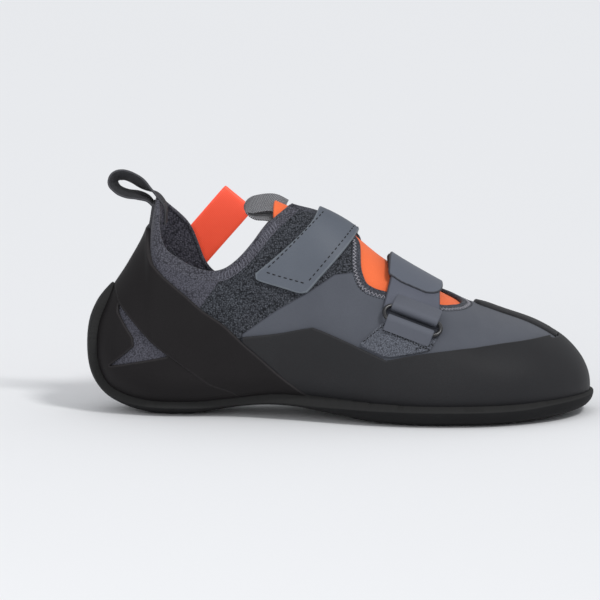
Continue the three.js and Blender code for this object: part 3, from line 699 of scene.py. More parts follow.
def stitches(name, path, normals, spacing, length, thread, slants=(0.0,), material=None, slot="fabric",
             sink=0.3):
    """A row of short raised stitches along a path. slants are their angles to it in degrees, in turn."""
    path = np.asarray(path)
    run = np.concatenate([[0.0], np.cumsum(np.linalg.norm(np.diff(path, axis=0), axis=1))])
    stops = np.arange(spacing / 2, run[-1], spacing)
    centre = np.stack([np.interp(stops, run, path[:, k]) for k in range(3)], axis=-1)
    normal = unit(np.stack([np.interp(stops, run, normals[:, k]) for k in range(3)], axis=-1))
    tangent = unit(np.gradient(centre, axis=0))
    across = unit(np.cross(normal, tangent))
    turn = np.radians(np.resize(slants, len(stops)))[:, None]
    long = unit(tangent * np.cos(turn) + across * np.sin(turn))
    side = np.cross(normal, long)
    rings = [(-0.5, 0.25), (-0.42, 0.8), (0.0, 1.0), (0.42, 0.8), (0.5, 0.25)]
    spots = []
    faces = []
    for k in range(len(stops)):
        base = len(spots)
        for at, girth in rings:
            sway = thread * (0.5 - sink) - (2 * at) ** 2 * thread * 0.35
            for corner in range(6):
                spin = corner / 6 * 2 * math.pi
                spots.append(centre[k] + long[k] * at * length + side[k] * math.cos(spin) * girth * thread / 2
                             + normal[k] * (math.sin(spin) * girth * thread / 2 + sway))
        for ring in range(len(rings) - 1):
            for corner in range(6):
                a = base + ring * 6 + corner
                b = base + ring * 6 + (corner + 1) % 6
                faces.append((a, b, b + 6, a + 6))
        faces.append(tuple(base + corner for corner in range(6)))
        faces.append(tuple(base + 24 + 5 - corner for corner in range(6)))
    piece = mesh_piece(name, np.array(spots), faces, angle=180)
    dress(piece, material)
    ride(piece, slot)
    return piece


def ride(piece, slot, *nodes):
    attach(piece, "root")
    if nodes:
        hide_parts(*nodes)


def dress(piece, *materials):
    for material in materials:
        piece.data.materials.append(material)


# Finishes

def srgb(r, g, b):
    shares = (r / 255, g / 255, b / 255)
    return tuple(c / 12.92 if c <= 0.04045 else ((c + 0.055) / 1.055) ** 2.4 for c in shares)


def node_group(name, inputs, outputs):
    group = bpy.data.node_groups.new(name, "ShaderNodeTree")
    for label, value in inputs:
        socket = group.interface.new_socket(name=label, in_out="INPUT", socket_type="NodeSocketFloat")
        socket.default_value = value
    for label in outputs:
        group.interface.new_socket(name=label, in_out="OUTPUT", socket_type="NodeSocketFloat")
    return group, group.nodes.new("NodeGroupInput"), group.nodes.new("NodeGroupOutput")


def math_node(tree, operation, first, second=None, third=None):
    node = tree.nodes.new("ShaderNodeMath")
    node.operation = operation
    for socket, value in zip(node.inputs, (first, second, third)):
        if value is None:
            continue
        if isinstance(value, (int, float)):
            socket.default_value = value
        else:
            tree.links.new(value, socket)
    return node.outputs[0]


def object_millimetres(tree):
    coordinates = tree.nodes.new("ShaderNodeTexCoord")
    scale = tree.nodes.new("ShaderNodeVectorMath")
    scale.operation = "SCALE"
    scale.inputs["Scale"].default_value = 1000.0
    tree.links.new(coordinates.outputs["Object"], scale.inputs[0])
    return scale.outputs[0]


def noise_node(tree, vector, size, detail=2.0, roughness=0.5):
    node = tree.nodes.new("ShaderNodeTexNoise")
    tree.links.new(vector, node.inputs["Vector"])
    node.inputs["Detail"].default_value = detail
    node.inputs["Roughness"].default_value = roughness
    if isinstance(size, (int, float)):
        node.inputs["Scale"].default_value = 1.0 / size
    else:
        tree.links.new(math_node(tree, "DIVIDE", 1.0, size), node.inputs["Scale"])
    return node.outputs["Fac"]


def make_grain_group():
    """Fine noise of a size in millimetres, stretched in contrast, with a slow variation beside it."""
    group, given, result = node_group("grain", [("Size", 0.5), ("Contrast", 2.0), ("Patch", 15.0)],
                                      ["Speckle", "Cloud"])
    spots = object_millimetres(group)
    fine = noise_node(group, spots, given.outputs["Size"], 2.0, 0.6)
    centred = math_node(group, "SUBTRACT", fine, 0.5)
    stretched = math_node(group, "MULTIPLY_ADD", centred, given.outputs["Contrast"], 0.5)
    clamp = group.nodes.new("ShaderNodeClamp")
    group.links.new(stretched, clamp.inputs["Value"])
    group.links.new(clamp.outputs[0], result.inputs["Speckle"])
    group.links.new(noise_node(group, spots, given.outputs["Patch"], 3.0), result.inputs["Cloud"])
    return group


def make_knit_group():
    """Nubs of a knitted face, with deep gaps between them."""
    group, given, result = node_group("knit", [("Size", 0.9)], ["Nub", "Tone"])
    spots = object_millimetres(group)
    cells = group.nodes.new("ShaderNodeTexVoronoi")
    cells.inputs["Randomness"].default_value = 0.75
    group.links.new(spots, cells.inputs["Vector"])
    group.links.new(math_node(group, "DIVIDE", 1.0, given.outputs["Size"]), cells.inputs["Scale"])
    nub = math_node(group, "SUBTRACT", 1.0, cells.outputs["Distance"])
    group.links.new(nub, result.inputs["Nub"])
    split = group.nodes.new("ShaderNodeSeparateColor")
    group.links.new(cells.outputs["Color"], split.inputs[0])
    group.links.new(split.outputs[0], result.inputs["Tone"])
    return group


def make_rib_group():
    """Ribs and weave of a tape from its own UV, in millimetres: U along it and V across."""
    group, given, result = node_group("ribs", [("Rib", 1.0), ("Slant", 0.0), ("Pick", 0.5)],
                                      ["Height", "Line"])
    uv = group.nodes.new("ShaderNodeUVMap")
    uv.uv_map = "pattern"
    split = group.nodes.new("ShaderNodeSeparateXYZ")
    group.links.new(uv.outputs[0], split.inputs[0])
    leaning = math_node(group, "MULTIPLY_ADD", split.outputs[0], given.outputs["Slant"], split.outputs[1])
    count = math_node(group, "DIVIDE", leaning, given.outputs["Rib"])
    turns = math_node(group, "MULTIPLY", count, 2 * math.pi)
    line = math_node(group, "MULTIPLY_ADD", math_node(group, "SINE", turns), 0.5, 0.5)
    picks = math_node(group, "MULTIPLY", math_node(group, "DIVIDE", split.outputs[0], given.outputs["Pick"]),
                      2 * math.pi)
    pick = math_node(group, "MULTIPLY_ADD", math_node(group, "SINE", picks), 0.5, 0.5)
    group.links.new(math_node(group, "MULTIPLY_ADD", pick, 0.35, line), result.inputs["Height"])
    group.links.new(line, result.inputs["Line"])
    return group


def make_edge_group():
    """A mask along a piece's cut edge, broken up by noise. Reach is in millimetres."""
    group, given, result = node_group("cut_edge", [("Reach", 0.8)], ["Mask"])
    edge = group.nodes.new("ShaderNodeAttribute")
    edge.attribute_name = "edge"
    wobble = noise_node(group, object_millimetres(group), 1.6, 3.0)
    shifted = math_node(group, "MULTIPLY_ADD", wobble, -0.5, edge.outputs["Fac"])
    ramp = group.nodes.new("ShaderNodeMapRange")
    ramp.interpolation_type = "SMOOTHSTEP"
    group.links.new(shifted, ramp.inputs["Value"])
    ramp.inputs["From Min"].default_value = 0.0
    group.links.new(given.outputs["Reach"], ramp.inputs["From Max"])
    ramp.inputs["To Min"].default_value = 1.0
    ramp.inputs["To Max"].default_value = 0.0
    group.links.new(ramp.outputs[0], result.inputs["Mask"])
    return group


GRAIN = make_grain_group()
KNIT = make_knit_group()
RIBS = make_rib_group()
CUT_EDGE = make_edge_group()


class Finish:
    """One material: a Principled shader with helpers to lay detail on it."""

    def __init__(self, name, roughness, specular=0.3, sheen=0.0, coat=0.0):
        self.material = bpy.data.materials.new(name)
        self.material.use_nodes = True
        self.tree = self.material.node_tree
        self.shader = self.tree.nodes["Principled BSDF"]
        self.shader.inputs["Roughness"].default_value = roughness
        self.shader.inputs["Specular IOR Level"].default_value = specular
        self.shader.inputs["Sheen Weight"].default_value = sheen
        self.shader.inputs["Sheen Roughness"].default_value = 0.5
        self.shader.inputs["Coat Weight"].default_value = coat
        self.normal = None

    def use(self, group, **values):
        node = self.tree.nodes.new("ShaderNodeGroup")
        node.node_tree = group
        for name, value in values.items():
            node.inputs[name].default_value = value
        return node.outputs

    def ramp(self, value, low, high):
        node = self.tree.nodes.new("ShaderNodeMapRange")
        self.tree.links.new(value, node.inputs["Value"])
        node.inputs["From Min"].default_value = low
        node.inputs["From Max"].default_value = high
        return node.outputs[0]

    def mix(self, share, first, second):
        node = self.tree.nodes.new("ShaderNodeMix")
        node.data_type = "RGBA"
        self.tree.links.new(share, node.inputs["Factor"])
        for socket, value in ((node.inputs[6], first), (node.inputs[7], second)):
            if isinstance(value, tuple):
                socket.default_value = (*value, 1.0)
            else:
                self.tree.links.new(value, socket)
        return node.outputs[2]

    def colour(self, value):
        self.tree.links.new(value, self.shader.inputs["Base Color"])

    def rough(self, share, low, high):
        node = self.tree.nodes.new("ShaderNodeMapRange")
        self.tree.links.new(share, node.inputs["Value"])
        node.inputs["To Min"].default_value = low
        node.inputs["To Max"].default_value = high
        self.tree.links.new(node.outputs[0], self.shader.inputs["Roughness"])

    def bump(self, height, depth_mm, strength=1.0):
        node = self.tree.nodes.new("ShaderNodeBump")
        node.inputs["Strength"].default_value = strength
        node.inputs["Distance"].default_value = depth_mm * MM
        self.tree.links.new(height, node.inputs["Height"])
        if self.normal is not None:
            self.tree.links.new(self.normal, node.inputs["Normal"])
        self.normal = node.outputs[0]
        self.tree.links.new(self.normal, self.shader.inputs["Normal"])


def knitted(name, dark, light, size, speckle, contrast, depth):
    """Heather yarn: dark and light fibres mixed stitch by stitch, with painted shade in the gaps between the
    nubs.
    """
    finish = Finish(name, 0.92, specular=0.15, sheen=0.1)
    knit = finish.use(KNIT, Size=size)
    grain = finish.use(GRAIN, Size=speckle, Contrast=contrast, Patch=9.0)
    yarn = finish.mix(grain["Speckle"], dark, light)
    # Painted shade: the gaps between the knit's nubs are darkened to 0.35 of the dark yarn's colour.
    painted_gap_shade = finish.mix(finish.ramp(knit["Nub"], 0.25, 0.75), tuple(0.35 * c for c in dark), yarn)
    finish.colour(finish.mix(finish.ramp(grain["Cloud"], 0.3, 2.0), painted_gap_shade, yarn))
    finish.bump(knit["Nub"], depth)
    finish.bump(grain["Speckle"], 0.5 * depth, 0.6)
    return finish.material


def brushed(name, dark, light, roughness, size, depth, contrast=1.6, edge=None, specular=0.3, sheen=0.0,
            patch=18.0, reach=0.8):
    """A fine even face, such as suede, rubber or a coated cloth, with a different tone at its cut edges."""
    finish = Finish(name, roughness, specular=specular, sheen=sheen)
    grain = finish.use(GRAIN, Size=size, Contrast=contrast, Patch=patch)
    tone = finish.mix(finish.ramp(grain["Cloud"], 0.3, 0.7), dark, light)
    mottled = finish.mix(grain["Speckle"], tuple(0.88 * c for c in dark), tone)
    if edge:
        mottled = finish.mix(finish.use(CUT_EDGE, Reach=reach)["Mask"], mottled, edge)
    finish.colour(mottled)
    finish.rough(grain["Cloud"], roughness - 0.08, min(roughness + 0.1, 1.0))
    finish.bump(grain["Speckle"], depth)
    return finish.material


def taped(name, dark, light, roughness, rib, slant=0.0, pick=0.5, depth=0.15, specular=0.25, low=0.2,
          high=0.8, painted_glow=0.0):
    """A woven tape; glow is an emission in its own colour, painted light beyond what the lamps give it."""
    finish = Finish(name, roughness, specular=specular)
    ribs = finish.use(RIBS, Rib=rib, Slant=slant, Pick=pick)
    grain = finish.use(GRAIN, Size=0.3, Contrast=1.5, Patch=8.0)
    woven = finish.mix(finish.ramp(ribs["Line"], low, high), dark, light)
    worn = finish.mix(grain["Speckle"], tuple(0.8 * c for c in dark), woven)
    finish.colour(finish.mix(finish.ramp(grain["Cloud"], -0.5, 1.0), worn, woven))
    finish.bump(ribs["Height"], depth)
    finish.bump(grain["Speckle"], 0.05)
    # Painted light: an emission in the woven colour, though the tape is no lamp.
    if painted_glow:
        finish.tree.links.new(woven, finish.shader.inputs["Emission Color"])
        finish.shader.inputs["Emission Strength"].default_value = painted_glow
    return finish.material


heather = knitted("heather_knit", srgb(37, 40, 45), srgb(91, 94, 101), 0.95, 0.65, 3.2, 0.28)
quarter_knit = knitted("quarter_knit", srgb(80, 80, 89), srgb(95, 95, 105), 0.8, 0.6, 1.6, 0.1)
band_knit = knitted("collar_knit", srgb(74, 74, 82), srgb(104, 104, 113), 0.9, 0.8, 2.2, 0.25)
binding_knit = knitted("window_binding", srgb(58, 60, 67), srgb(94, 96, 104), 0.7, 0.8, 2.4, 0.2)
lining = knitted("lining_mesh", srgb(76, 75, 85), srgb(124, 122, 134), 1.1, 0.9, 2.6, 0.25)
suede = brushed("vamp_suede", srgb(82, 85, 93), srgb(91, 94, 102), 0.88, 0.3, 0.05, sheen=0.12,
                edge=srgb(70, 72, 80), specular=0.2, reach=0.6)
rubber = brushed("rand_rubber", srgb(38, 38, 40), srgb(46, 46, 48), 0.56, 0.45, 0.03, edge=srgb(50, 50, 52),
                 specular=0.15, patch=30.0, reach=0.9)
band_rubber = brushed("slingshot_rubber", srgb(29, 27, 28), srgb(35, 33, 34), 0.6, 0.45, 0.03,
                      edge=srgb(46, 44, 45), specular=0.12, patch=26.0, reach=0.9)
sole_rubber = brushed("sole_rubber", srgb(27, 27, 28), srgb(35, 35, 36), 0.66, 0.6, 0.06,
                      edge=srgb(42, 42, 42), specular=0.12, patch=22.0)
strap_coat = brushed("strap_coating", srgb(84, 90, 100), srgb(92, 98, 108), 0.5, 0.35, 0.02,
                     edge=srgb(108, 114, 121), specular=0.35, reach=0.9)
strap_cloth = brushed("strap_webbing", srgb(88, 91, 102), srgb(98, 101, 112), 0.72, 0.4, 0.08, specular=0.25,
                      edge=srgb(66, 68, 76))
rolled_strap = brushed("rolled_webbing", srgb(73, 76, 85), srgb(82, 85, 94), 0.66, 0.4, 0.08, specular=0.25,
                       edge=srgb(90, 93, 102))
tab_coat = brushed("tab_coating", srgb(88, 93, 104), srgb(96, 101, 112), 0.5, 0.35, 0.02, specular=0.35,
                   edge=srgb(52, 54, 60))
keeper_cloth = knitted("keeper_cloth", srgb(84, 87, 96), srgb(118, 122, 131), 0.6, 0.7, 2.2, 0.12)
# Black of the strap's underside together with painted shade: it colours the sheet that stands for the shade
# under the strap's lifted rear edge.
strap_underside_and_shade = brushed("strap_underside_and_shade", srgb(28, 24, 26), srgb(36, 30, 32), 0.8, 0.5, 0.1)
orange_cloth = brushed("tongue_cloth", srgb(248, 112, 62), srgb(255, 126, 74), 0.75, 0.35, 0.05,
                       specular=0.25, sheen=0.1)
# The orange tape gets painted light, an emission that brightens it where the lamps leave it in shade.
orange_tape = taped("orange_tape", srgb(246, 76, 50), srgb(252, 98, 68), 0.42, 0.8, pick=0.7, depth=0.05,
                    specular=0.5, painted_glow=0.28)
heel_tape = taped("heel_tape", srgb(38, 38, 40), srgb(80, 80, 84), 0.8, 1.1, depth=0.2)
twill_tape = taped("twill_tape", srgb(18, 18, 20), srgb(190, 190, 194), 0.6, 1.0, slant=1.1, depth=0.15,
                   low=0.55, high=0.8)
black_wire = brushed("ring_coating", srgb(20, 20, 22), srgb(30, 30, 33), 0.28, 0.5, 0.01, specular=0.6)
dark_thread = brushed("dark_thread", srgb(20, 21, 24), srgb(36, 37, 41), 0.7, 0.3, 0.05)
light_thread = brushed("light_thread", srgb(140, 138, 146), srgb(186, 184, 190), 0.7, 0.4, 0.05)
grey_thread = brushed("grey_thread", srgb(96, 96, 106), srgb(134, 133, 144), 0.75, 0.4, 0.05)

# Regions of the shoe

collar = seen_from_side(curve_through(COLLAR_LATERAL) + COLLAR_CLOSE,
                        curve_through(COLLAR_MEDIAL) + COLLAR_CLOSE)
throat = seen_from_above(softened(THROAT))
underfoot = seen_from_above(footprint(LASTING_MARGIN), upper_half=False)
rand_region = seen_from_side(curve_through(RAND_LATERAL) + RAND_CLOSE,
                             curve_through(RAND_MEDIAL) + RAND_CLOSE)
before_band = seen_from_side(moved(curve_through(BAND_FRONT), -0.5) + [(1.2, -0.4), (1.2, 0.812)])
band = seen_from_side(curve_through(BAND_FRONT) + curve_through(BAND_REAR))
behind_band = seen_from_side(moved(curve_through(BAND_REAR), 0.5, 0.5) + [(-0.2, 0.6), (-0.2, -0.4)])
heel_window = seen_from_side(softened(HEEL_WINDOW, 0.06))
vamp = seen_from_side([(0.302, 0.387), (0.37, 0.519), (0.437, 0.62), (0.49, 0.709), (0.527, 0.717),
                       (0.545, 0.76), (0.56, 1.0), (0.6, 1.4), (1.1, 1.4), (1.1, -0.4), (0.302, -0.4)])
quarter = seen_from_side([(0.272, 0.74), (0.25, 0.63), (0.216, 0.508), (0.19, 0.4), (0.17, -0.4),
                          (-0.2, -0.4), (-0.2, 1.3), (0.285, 1.3)])
open_upper = both(without(collar), without(throat), without(underfoot))


def strip_along(region, width):
    """A strip of a width just outside a region."""
    def strip(points, normals):
        distance = region(points, normals)
        return np.minimum(-distance, distance + width)
    return strip


# Upper: a knitted shell with smooth panels laid on it

PANEL = 0.24
COLLAR_BAND = 5.4
WINDOW_BAND = 4.6

edge_loops = {}


def make_upper():
    shell = wrapped("upper_shell", open_upper, -UPPER_WALL, 0.0, loops=edge_loops)
    dress(shell, heather, lining)
    ride(shell, "fabric", "upper")
    for name, region, finish in (
            ("vamp_panel", both(open_upper, vamp), suede),
            ("quarter_panel", both(open_upper, quarter), quarter_knit)):
        panel = wrapped(name, region, 0.02, PANEL, rim=0.2)
        dress(panel, finish)
        ride(panel, "fabric")


def opening_edge(spacing):
    """The edge of the upper's one long opening: places, normals and directions into the fabric."""
    flat = max(edge_loops["upper_shell"], key=lambda loop: surface_under(loop)[0][:, 2].mean())
    points, normals = surface_under(flat)
    joined = resampled(np.hstack([points, normals]), spacing=0.4, closed=True)
    for _ in range(30):
        joined = (np.roll(joined, 1, axis=0) + 2 * joined + np.roll(joined, -1, axis=0)) / 4
    length = np.linalg.norm(np.diff(joined[:, :3], axis=0), axis=1).sum()
    joined = resampled(joined, count=round(length / spacing), closed=True)
    path = joined[:, :3]
    normals = unit(joined[:, 3:])
    tangent = unit(np.roll(path, -1, axis=0) - np.roll(path, 1, axis=0))
    inwards = unit(np.cross(normals, tangent))
    window = path[:, 0] > 0.55 * FORM_LENGTH
    away = path - path[window].mean(axis=0)
    if np.einsum("ij,ij->i", inwards[window], away[window]).mean() < 0:
        inwards = -inwards
    return path - normals * sag(path)[:, None], normals, inwards


def onto_form(path, form):
    """Places moved to a form, with the form's normals."""
    found = [form.find_nearest(Vector(spot)) for spot in path]
    spots = np.array([hit[0][:] for hit in found])
    normals = np.array([hit[1][:] for hit in found])
    outwards = np.sign(np.einsum("ij,ij->i", normals, path - (0.5 * FORM_LENGTH, 0.0, 0.3 * INSTEP_HEIGHT)))
    normals *= np.where(outwards < 0, -1.0, 1.0)[:, None]
    return spots - normals * sag(spots)[:, None], normals


def beside_opening(edge, depth, form, chosen):
    """Lines beside the opening's edge, the runs of it that chosen keeps."""
    path, _, inwards = edge
    spots, normals = onto_form(path + inwards * depth, form)
    kept = chosen(spots)
    first = int(np.argmax(~kept))
    spots, normals, kept = (np.roll(values, -first, axis=0) for values in (spots, normals, kept))
    changes = np.flatnonzero(np.diff(kept.astype(int))) + 1
    runs = np.split(np.arange(len(kept)), changes)
    return [(spots[run], normals[run]) for run in runs if kept[run[0]] and len(run) > 4]


def make_opening_edges():
    edge = opening_edge(0.9)
    path, normals, inwards = edge
    rim = swept("opening_binding", path - normals * UPPER_WALL / 2 + inwards * 0.5, normals, inwards,
                oval(UPPER_WALL + 0.8, 2.3, 12), closed=True, angle=180)
    dress(rim, band_knit, binding_knit)
    for face in rim.data.polygons:
        face.material_index = 1 if face.center.x > 0.38 * FORM_LENGTH * MM else 0
    ride(rim, "fabric")
    for name, region, width, finish in (("collar_band", collar, COLLAR_BAND, band_knit),
                                        ("window_band", throat, WINDOW_BAND, binding_knit)):
        strip = wrapped(name, both(open_upper, strip_along(region, width)), 0.04, PANEL + 0.04, rim=0.2)
        dress(strip, finish)
        ride(strip, "fabric")
    form = lifted_form(PANEL)

    def at_collar(spots):
        return (spots[:, 0] > 0.25 * FORM_LENGTH) & (spots[:, 0] < 0.37 * FORM_LENGTH)

    def at_window(spots):
        return spots[:, 0] > 0.51 * FORM_LENGTH
    rows = (
        ("collar_loop_stitches", 2.9, at_collar, 1.9, 3.6, 0.6, (62, 76), grey_thread),
        ("collar_chain_stitches", COLLAR_BAND - 0.4, at_collar, 2.3, 1.5, 0.45, (8, -8), grey_thread),
        ("window_overlock", 3.3, at_window, 1.05, 2.5, 0.38, (58, -58), light_thread),
        ("window_back_stitches", 4.9, at_window, 1.6, 1.2, 0.38, (10, -10), dark_thread),
    )
    for name, depth, chosen, spacing, length, thread, slants, finish in rows:
        for number, (spots, turned) in enumerate(beside_opening(edge, depth, form, chosen)):
            stitches(f"{name}_{number}", spots, turned, spacing, length, thread, slants, finish)


# Rubber covers

def merged_step(points, normals):
    """Share by which the heel cup rises to the band, where the two run into each other low down."""
    return 1.0 - smooth(0.12, 0.2, (points[:, 2] - FOOTBED) / (HEEL_HEIGHT - FOOTBED))


def make_covers():
    front = wrapped("front_rand_rubber", both(rand_region, before_band, without(underfoot)), RAND_INNER,
                    RAND_OUTER, rim=0.9)
    dress(front, rubber)
    ride(front, "rubber", "front_rand")

    slingshot = wrapped("slingshot_rubber", both(band, without(underfoot)), RAND_INNER, BAND_OUTER, rim=0.9)
    dress(slingshot, band_rubber)
    ride(slingshot, "rubber", "slingshot_band")

    def cup_top(points, normals):
        near_band = smooth(-16.0, -1.0, behind_band_edge(points, normals))
        return RAND_OUTER + (BAND_OUTER - 0.12 - RAND_OUTER) * merged_step(points, normals) * near_band

    cup = wrapped("heel_cup_rubber", both(behind_band, without(heel_window), without(underfoot)), RAND_INNER,
                  cup_top, rim=0.8)
    dress(cup, band_rubber)
    ride(cup, "rubber", "heel_cup")

    above_rand = moved(curve_through(RAND_MEDIAL), 0, CLEARANCE) + [(1.1, 1.5), (0.303, 1.5)]
    cover = both(seen_from_above(softened(TOE_PATCH)), seen_from_side(above_rand))
    patch = wrapped("toe_patch_rubber", cover, RAND_INNER, RAND_OUTER, rim=0.9)
    dress(patch, rubber)
    ride(patch, "rubber", "toe_patch")


def behind_band_edge(points, normals):
    """Distance in front of the band's rear edge, below zero behind it."""
    return -seen_from_side(curve_through(BAND_REAR) + [(-0.2, 0.6), (-0.2, -0.4)])(points, normals)


def sole_top(points, normals):
    """The sole's outer face: thickest under the foot and up the heel's back, thin at its upper end."""
    under = np.minimum(1.0, np.hypot(np.minimum(normals[:, 0], 0.0), np.minimum(normals[:, 2], 0.0)))
    end = 1.0 - 0.88 * smooth(0.46, 0.66, (points[:, 2] - FOOTBED) / (HEEL_HEIGHT - FOOTBED))
    return RAND_OUTER + (SOLE_SIDE + (CLEARANCE + SOLE_THICKNESS - SOLE_SIDE) * under) * end


def make_sole():
    sole = wrapped("outsole_rubber", seen_from_side(curve_through(SOLE_TOP) + SOLE_CLOSE), RAND_OUTER,
                   sole_top, rim=0.5, square=tread_square, floor=0.0, against=lifted_form(RAND_OUTER + 0.1))
    dress(sole, sole_rubber)
    ride(sole, "rubber", "outsole")


# Inside: insole and tongue

def foot_line(lift):
    line = []
    for row in SECTIONS[4:-2]:
        column = dict(zip(COLUMNS, row))
        tall = float(tallness(column["at"]))
        low = FOOTBED + column["low"] * tall
        high = FOOTBED + (column["low"] + column["high"]) / 2 * tall
        line.append((column["at"], (min(low + lift, high) - FOOTBED) / tall))
    return [(-0.2, line[0][1])] + line + [(1.2, line[-1][1] + 0.01), (1.2, -0.4), (-0.2, -0.4)]


def make_inside():
    under_wall = -UPPER_WALL - CLEARANCE
    insole = wrapped("insole_cloth", seen_from_side(foot_line(UPPER_WALL + CLEARANCE + 3.0)),
                     under_wall - 2.8, under_wall)
    dress(insole, lining)
    ride(insole, "lining", "insole")
    tongue = wrapped("tongue_cloth", seen_from_above(softened(TONGUE)), under_wall - TONGUE_THICKNESS,
                     under_wall, rim=0.6)
    dress(tongue, orange_cloth, lining)
    ride(tongue, "bright_fabric", "tongue")
    pad = wrapped("heel_pad_lining", seen_from_side([(0.0, 0.0), (0.01, 0.01), (0.01, 0.0)], softened(
        [(0.075, 0.5), (0.08, 0.62), (0.122, 0.9), (0.135, 0.93), (0.152, 0.9), (0.168, 0.82), (0.178, 0.7),
         (0.185, 0.56), (0.15, 0.48)])), under_wall - 1.1, under_wall + 0.2)
    dress(pad, quarter_knit)
    ride(pad, "lining")


# Straps

def make_straps():
    upper_strap = wrapped("upper_strap_cloth", seen_from_side(softened(UPPER_STRAP["lateral"], 0.08),
                                                              softened(UPPER_STRAP["medial"], 0.08)),
                          CLEARANCE, CLEARANCE + STRAP_THICKNESS, rim=0.7)
    dress(upper_strap, strap_coat)
    ride(upper_strap, "strap", "upper_strap")

    lower_strap = wrapped("lower_strap_cloth", seen_from_side(LOWER_STRAP["lateral"], LOWER_STRAP["medial"]),
                          CLEARANCE, CLEARANCE + LOWER_STRAP_THICKNESS, rim=0.6)
    dress(lower_strap, strap_cloth)
    ride(lower_strap, "strap", "lower_strap")

    tab_medial = [(0.6, 0.62), (0.7, 0.52), (0.707, 1.4), (0.6, 1.4)]
    strap_top = CLEARANCE + LOWER_STRAP_THICKNESS
    tab = wrapped("strap_tab", seen_from_side(softened(STRAP_TAB_LINE, 0.015), tab_medial),
                  strap_top - 0.1, strap_top + STRAP_TAB, rim=0.6)
    dress(tab, tab_coat)
    ride(tab, "strap")

    # Painted shade: a flat dark sheet behind the lower strap's rear edge, for the strap's black underside and
    # the shade beneath it where the strap curls up off the upper.
    underside_and_shade_sheet = wrapped("strap_hook_side_and_shade", seen_from_side(
        [(0.603, 0.62), (0.604, 0.69), (0.598, 0.75), (0.592, 0.8), (0.592, 1.2), (0.625, 1.2),
         (0.625, 0.62)]), CLEARANCE, CLEARANCE + 1.5, rim=0.5)
    dress(underside_and_shade_sheet, strap_underside_and_shade)
    ride(underside_and_shade_sheet, "strap")


STRAP_STITCHING = [
    {"name": "end", "side": -1, "line": [(0.349, 0.711), (0.436, 0.657)]},
    {"name": "rear", "side": -1, "line": [(0.352, 0.729), (0.458, 0.985)]},
    {"name": "front", "side": -1, "line": [(0.438, 0.67), (0.541, 0.974)]},
    {"name": "medial_end", "side": 1, "line": [(0.388, 0.53), (0.465, 0.522)]},
    {"name": "medial_rear", "side": 1, "line": [(0.39, 0.56), (0.46, 0.985)]},
    {"name": "medial_front", "side": 1, "line": [(0.467, 0.545), (0.532, 0.93)]},
]


def make_strap_stitches():
    lift = CLEARANCE + STRAP_THICKNESS
    for row in STRAP_STITCHING:
        line = resampled(row["line"], count=80)
        spots, normals = spots_from_side(line, row["side"], lift)
        aim = in_side_view(line)[:, 1]
        found = np.abs(spots[:, 2] - normals[:, 2] * lift - aim) < 1.2
        stitches("strap_stitches_" + row["name"], spots[found], normals[found], 3.1, 1.9, 0.62,
                 material=dark_thread, slot="strap", sink=0.35)


# The ring and the webbing round its bars

BAR_OFFSET = (RING_WIDTH - RING_WIRE) / 2
ROLL_RADIUS = RING_WIRE / 2 + CLEARANCE + WEBBING
ROLL_LENGTH = LOWER_STRAP_WIDTH - WEBBING


def frame_on_side(at, share, side, lift, fall):
    """Origin and axes (along, up, outwards) of a place on the last's side."""
    spots, normals = spots_from_side([(at, share)], side, lift)
    normal = normals[0]
    along = np.array([1.0, 0.0, -fall])
    along = unit(along - normal * (along @ normal))
    return spots[0], along, np.cross(normal, along), normal


def make_ring():
    origin, along, up, outwards = frame_on_side(0.6503, 0.468, -1, RING_LIFT, RING_SLOPE)
    straight = (RING_LENGTH - RING_WIDTH) / 2
    turn = (np.arange(72) + 0.5) / 72 * 2 * math.pi
    spots = (origin + along * (np.sign(np.cos(turn)) * straight + BAR_OFFSET * np.cos(turn))[:, None]
             + up * (BAR_OFFSET * np.sin(turn))[:, None])
    spots = resampled(spots, spacing=0.8, closed=True)
    tangent = unit(np.roll(spots, -1, axis=0) - np.roll(spots, 1, axis=0))
    ring = swept("ring_wire", spots, np.cross(tangent, outwards), np.broadcast_to(outwards, spots.shape),
                 oval(RING_WIRE, RING_WIRE, 14), closed=True, angle=180)
    dress(ring, black_wire)
    ride(ring, "wire", "ring")
    for name, side, tip in (("strap_turn", 1, (9.0, -2.3)), ("keeper_turn", -1, (5.6, -2.4))):
        tip_angle = math.atan2(tip[1], tip[0])
        tangent_angle = math.acos(ROLL_RADIUS / math.hypot(*tip))
        arc = np.linspace(tip_angle + tangent_angle, tip_angle + 2 * math.pi - tangent_angle, 26)
        outline = np.vstack([np.stack([np.cos(arc), np.sin(arc)], axis=-1) * ROLL_RADIUS,
                             [(tip[0], tip[1] - 0.5), (tip[0] + 0.3, tip[1]), (tip[0], tip[1] + 0.3)]])
        stops = np.array([-0.5, -0.488, -0.47, -0.25, 0.0, 0.25, 0.47, 0.488, 0.5])
        girth = np.array([0.8, 0.94, 1.0, 1.0, 1.0, 1.0, 1.0, 0.94, 0.8])
        path = origin + up * side * BAR_OFFSET + along * (stops * ROLL_LENGTH)[:, None]
        section = outline[None] * girth[:, None, None]
        roll = swept(name, path, np.broadcast_to(up * side, path.shape),
                     np.broadcast_to(outwards, path.shape), section, angle=50)
        dress(roll, rolled_strap)
        ride(roll, "strap")


def lateral_only(region):
    return lambda points, normals: np.minimum(region(points, normals), -points[:, 1])


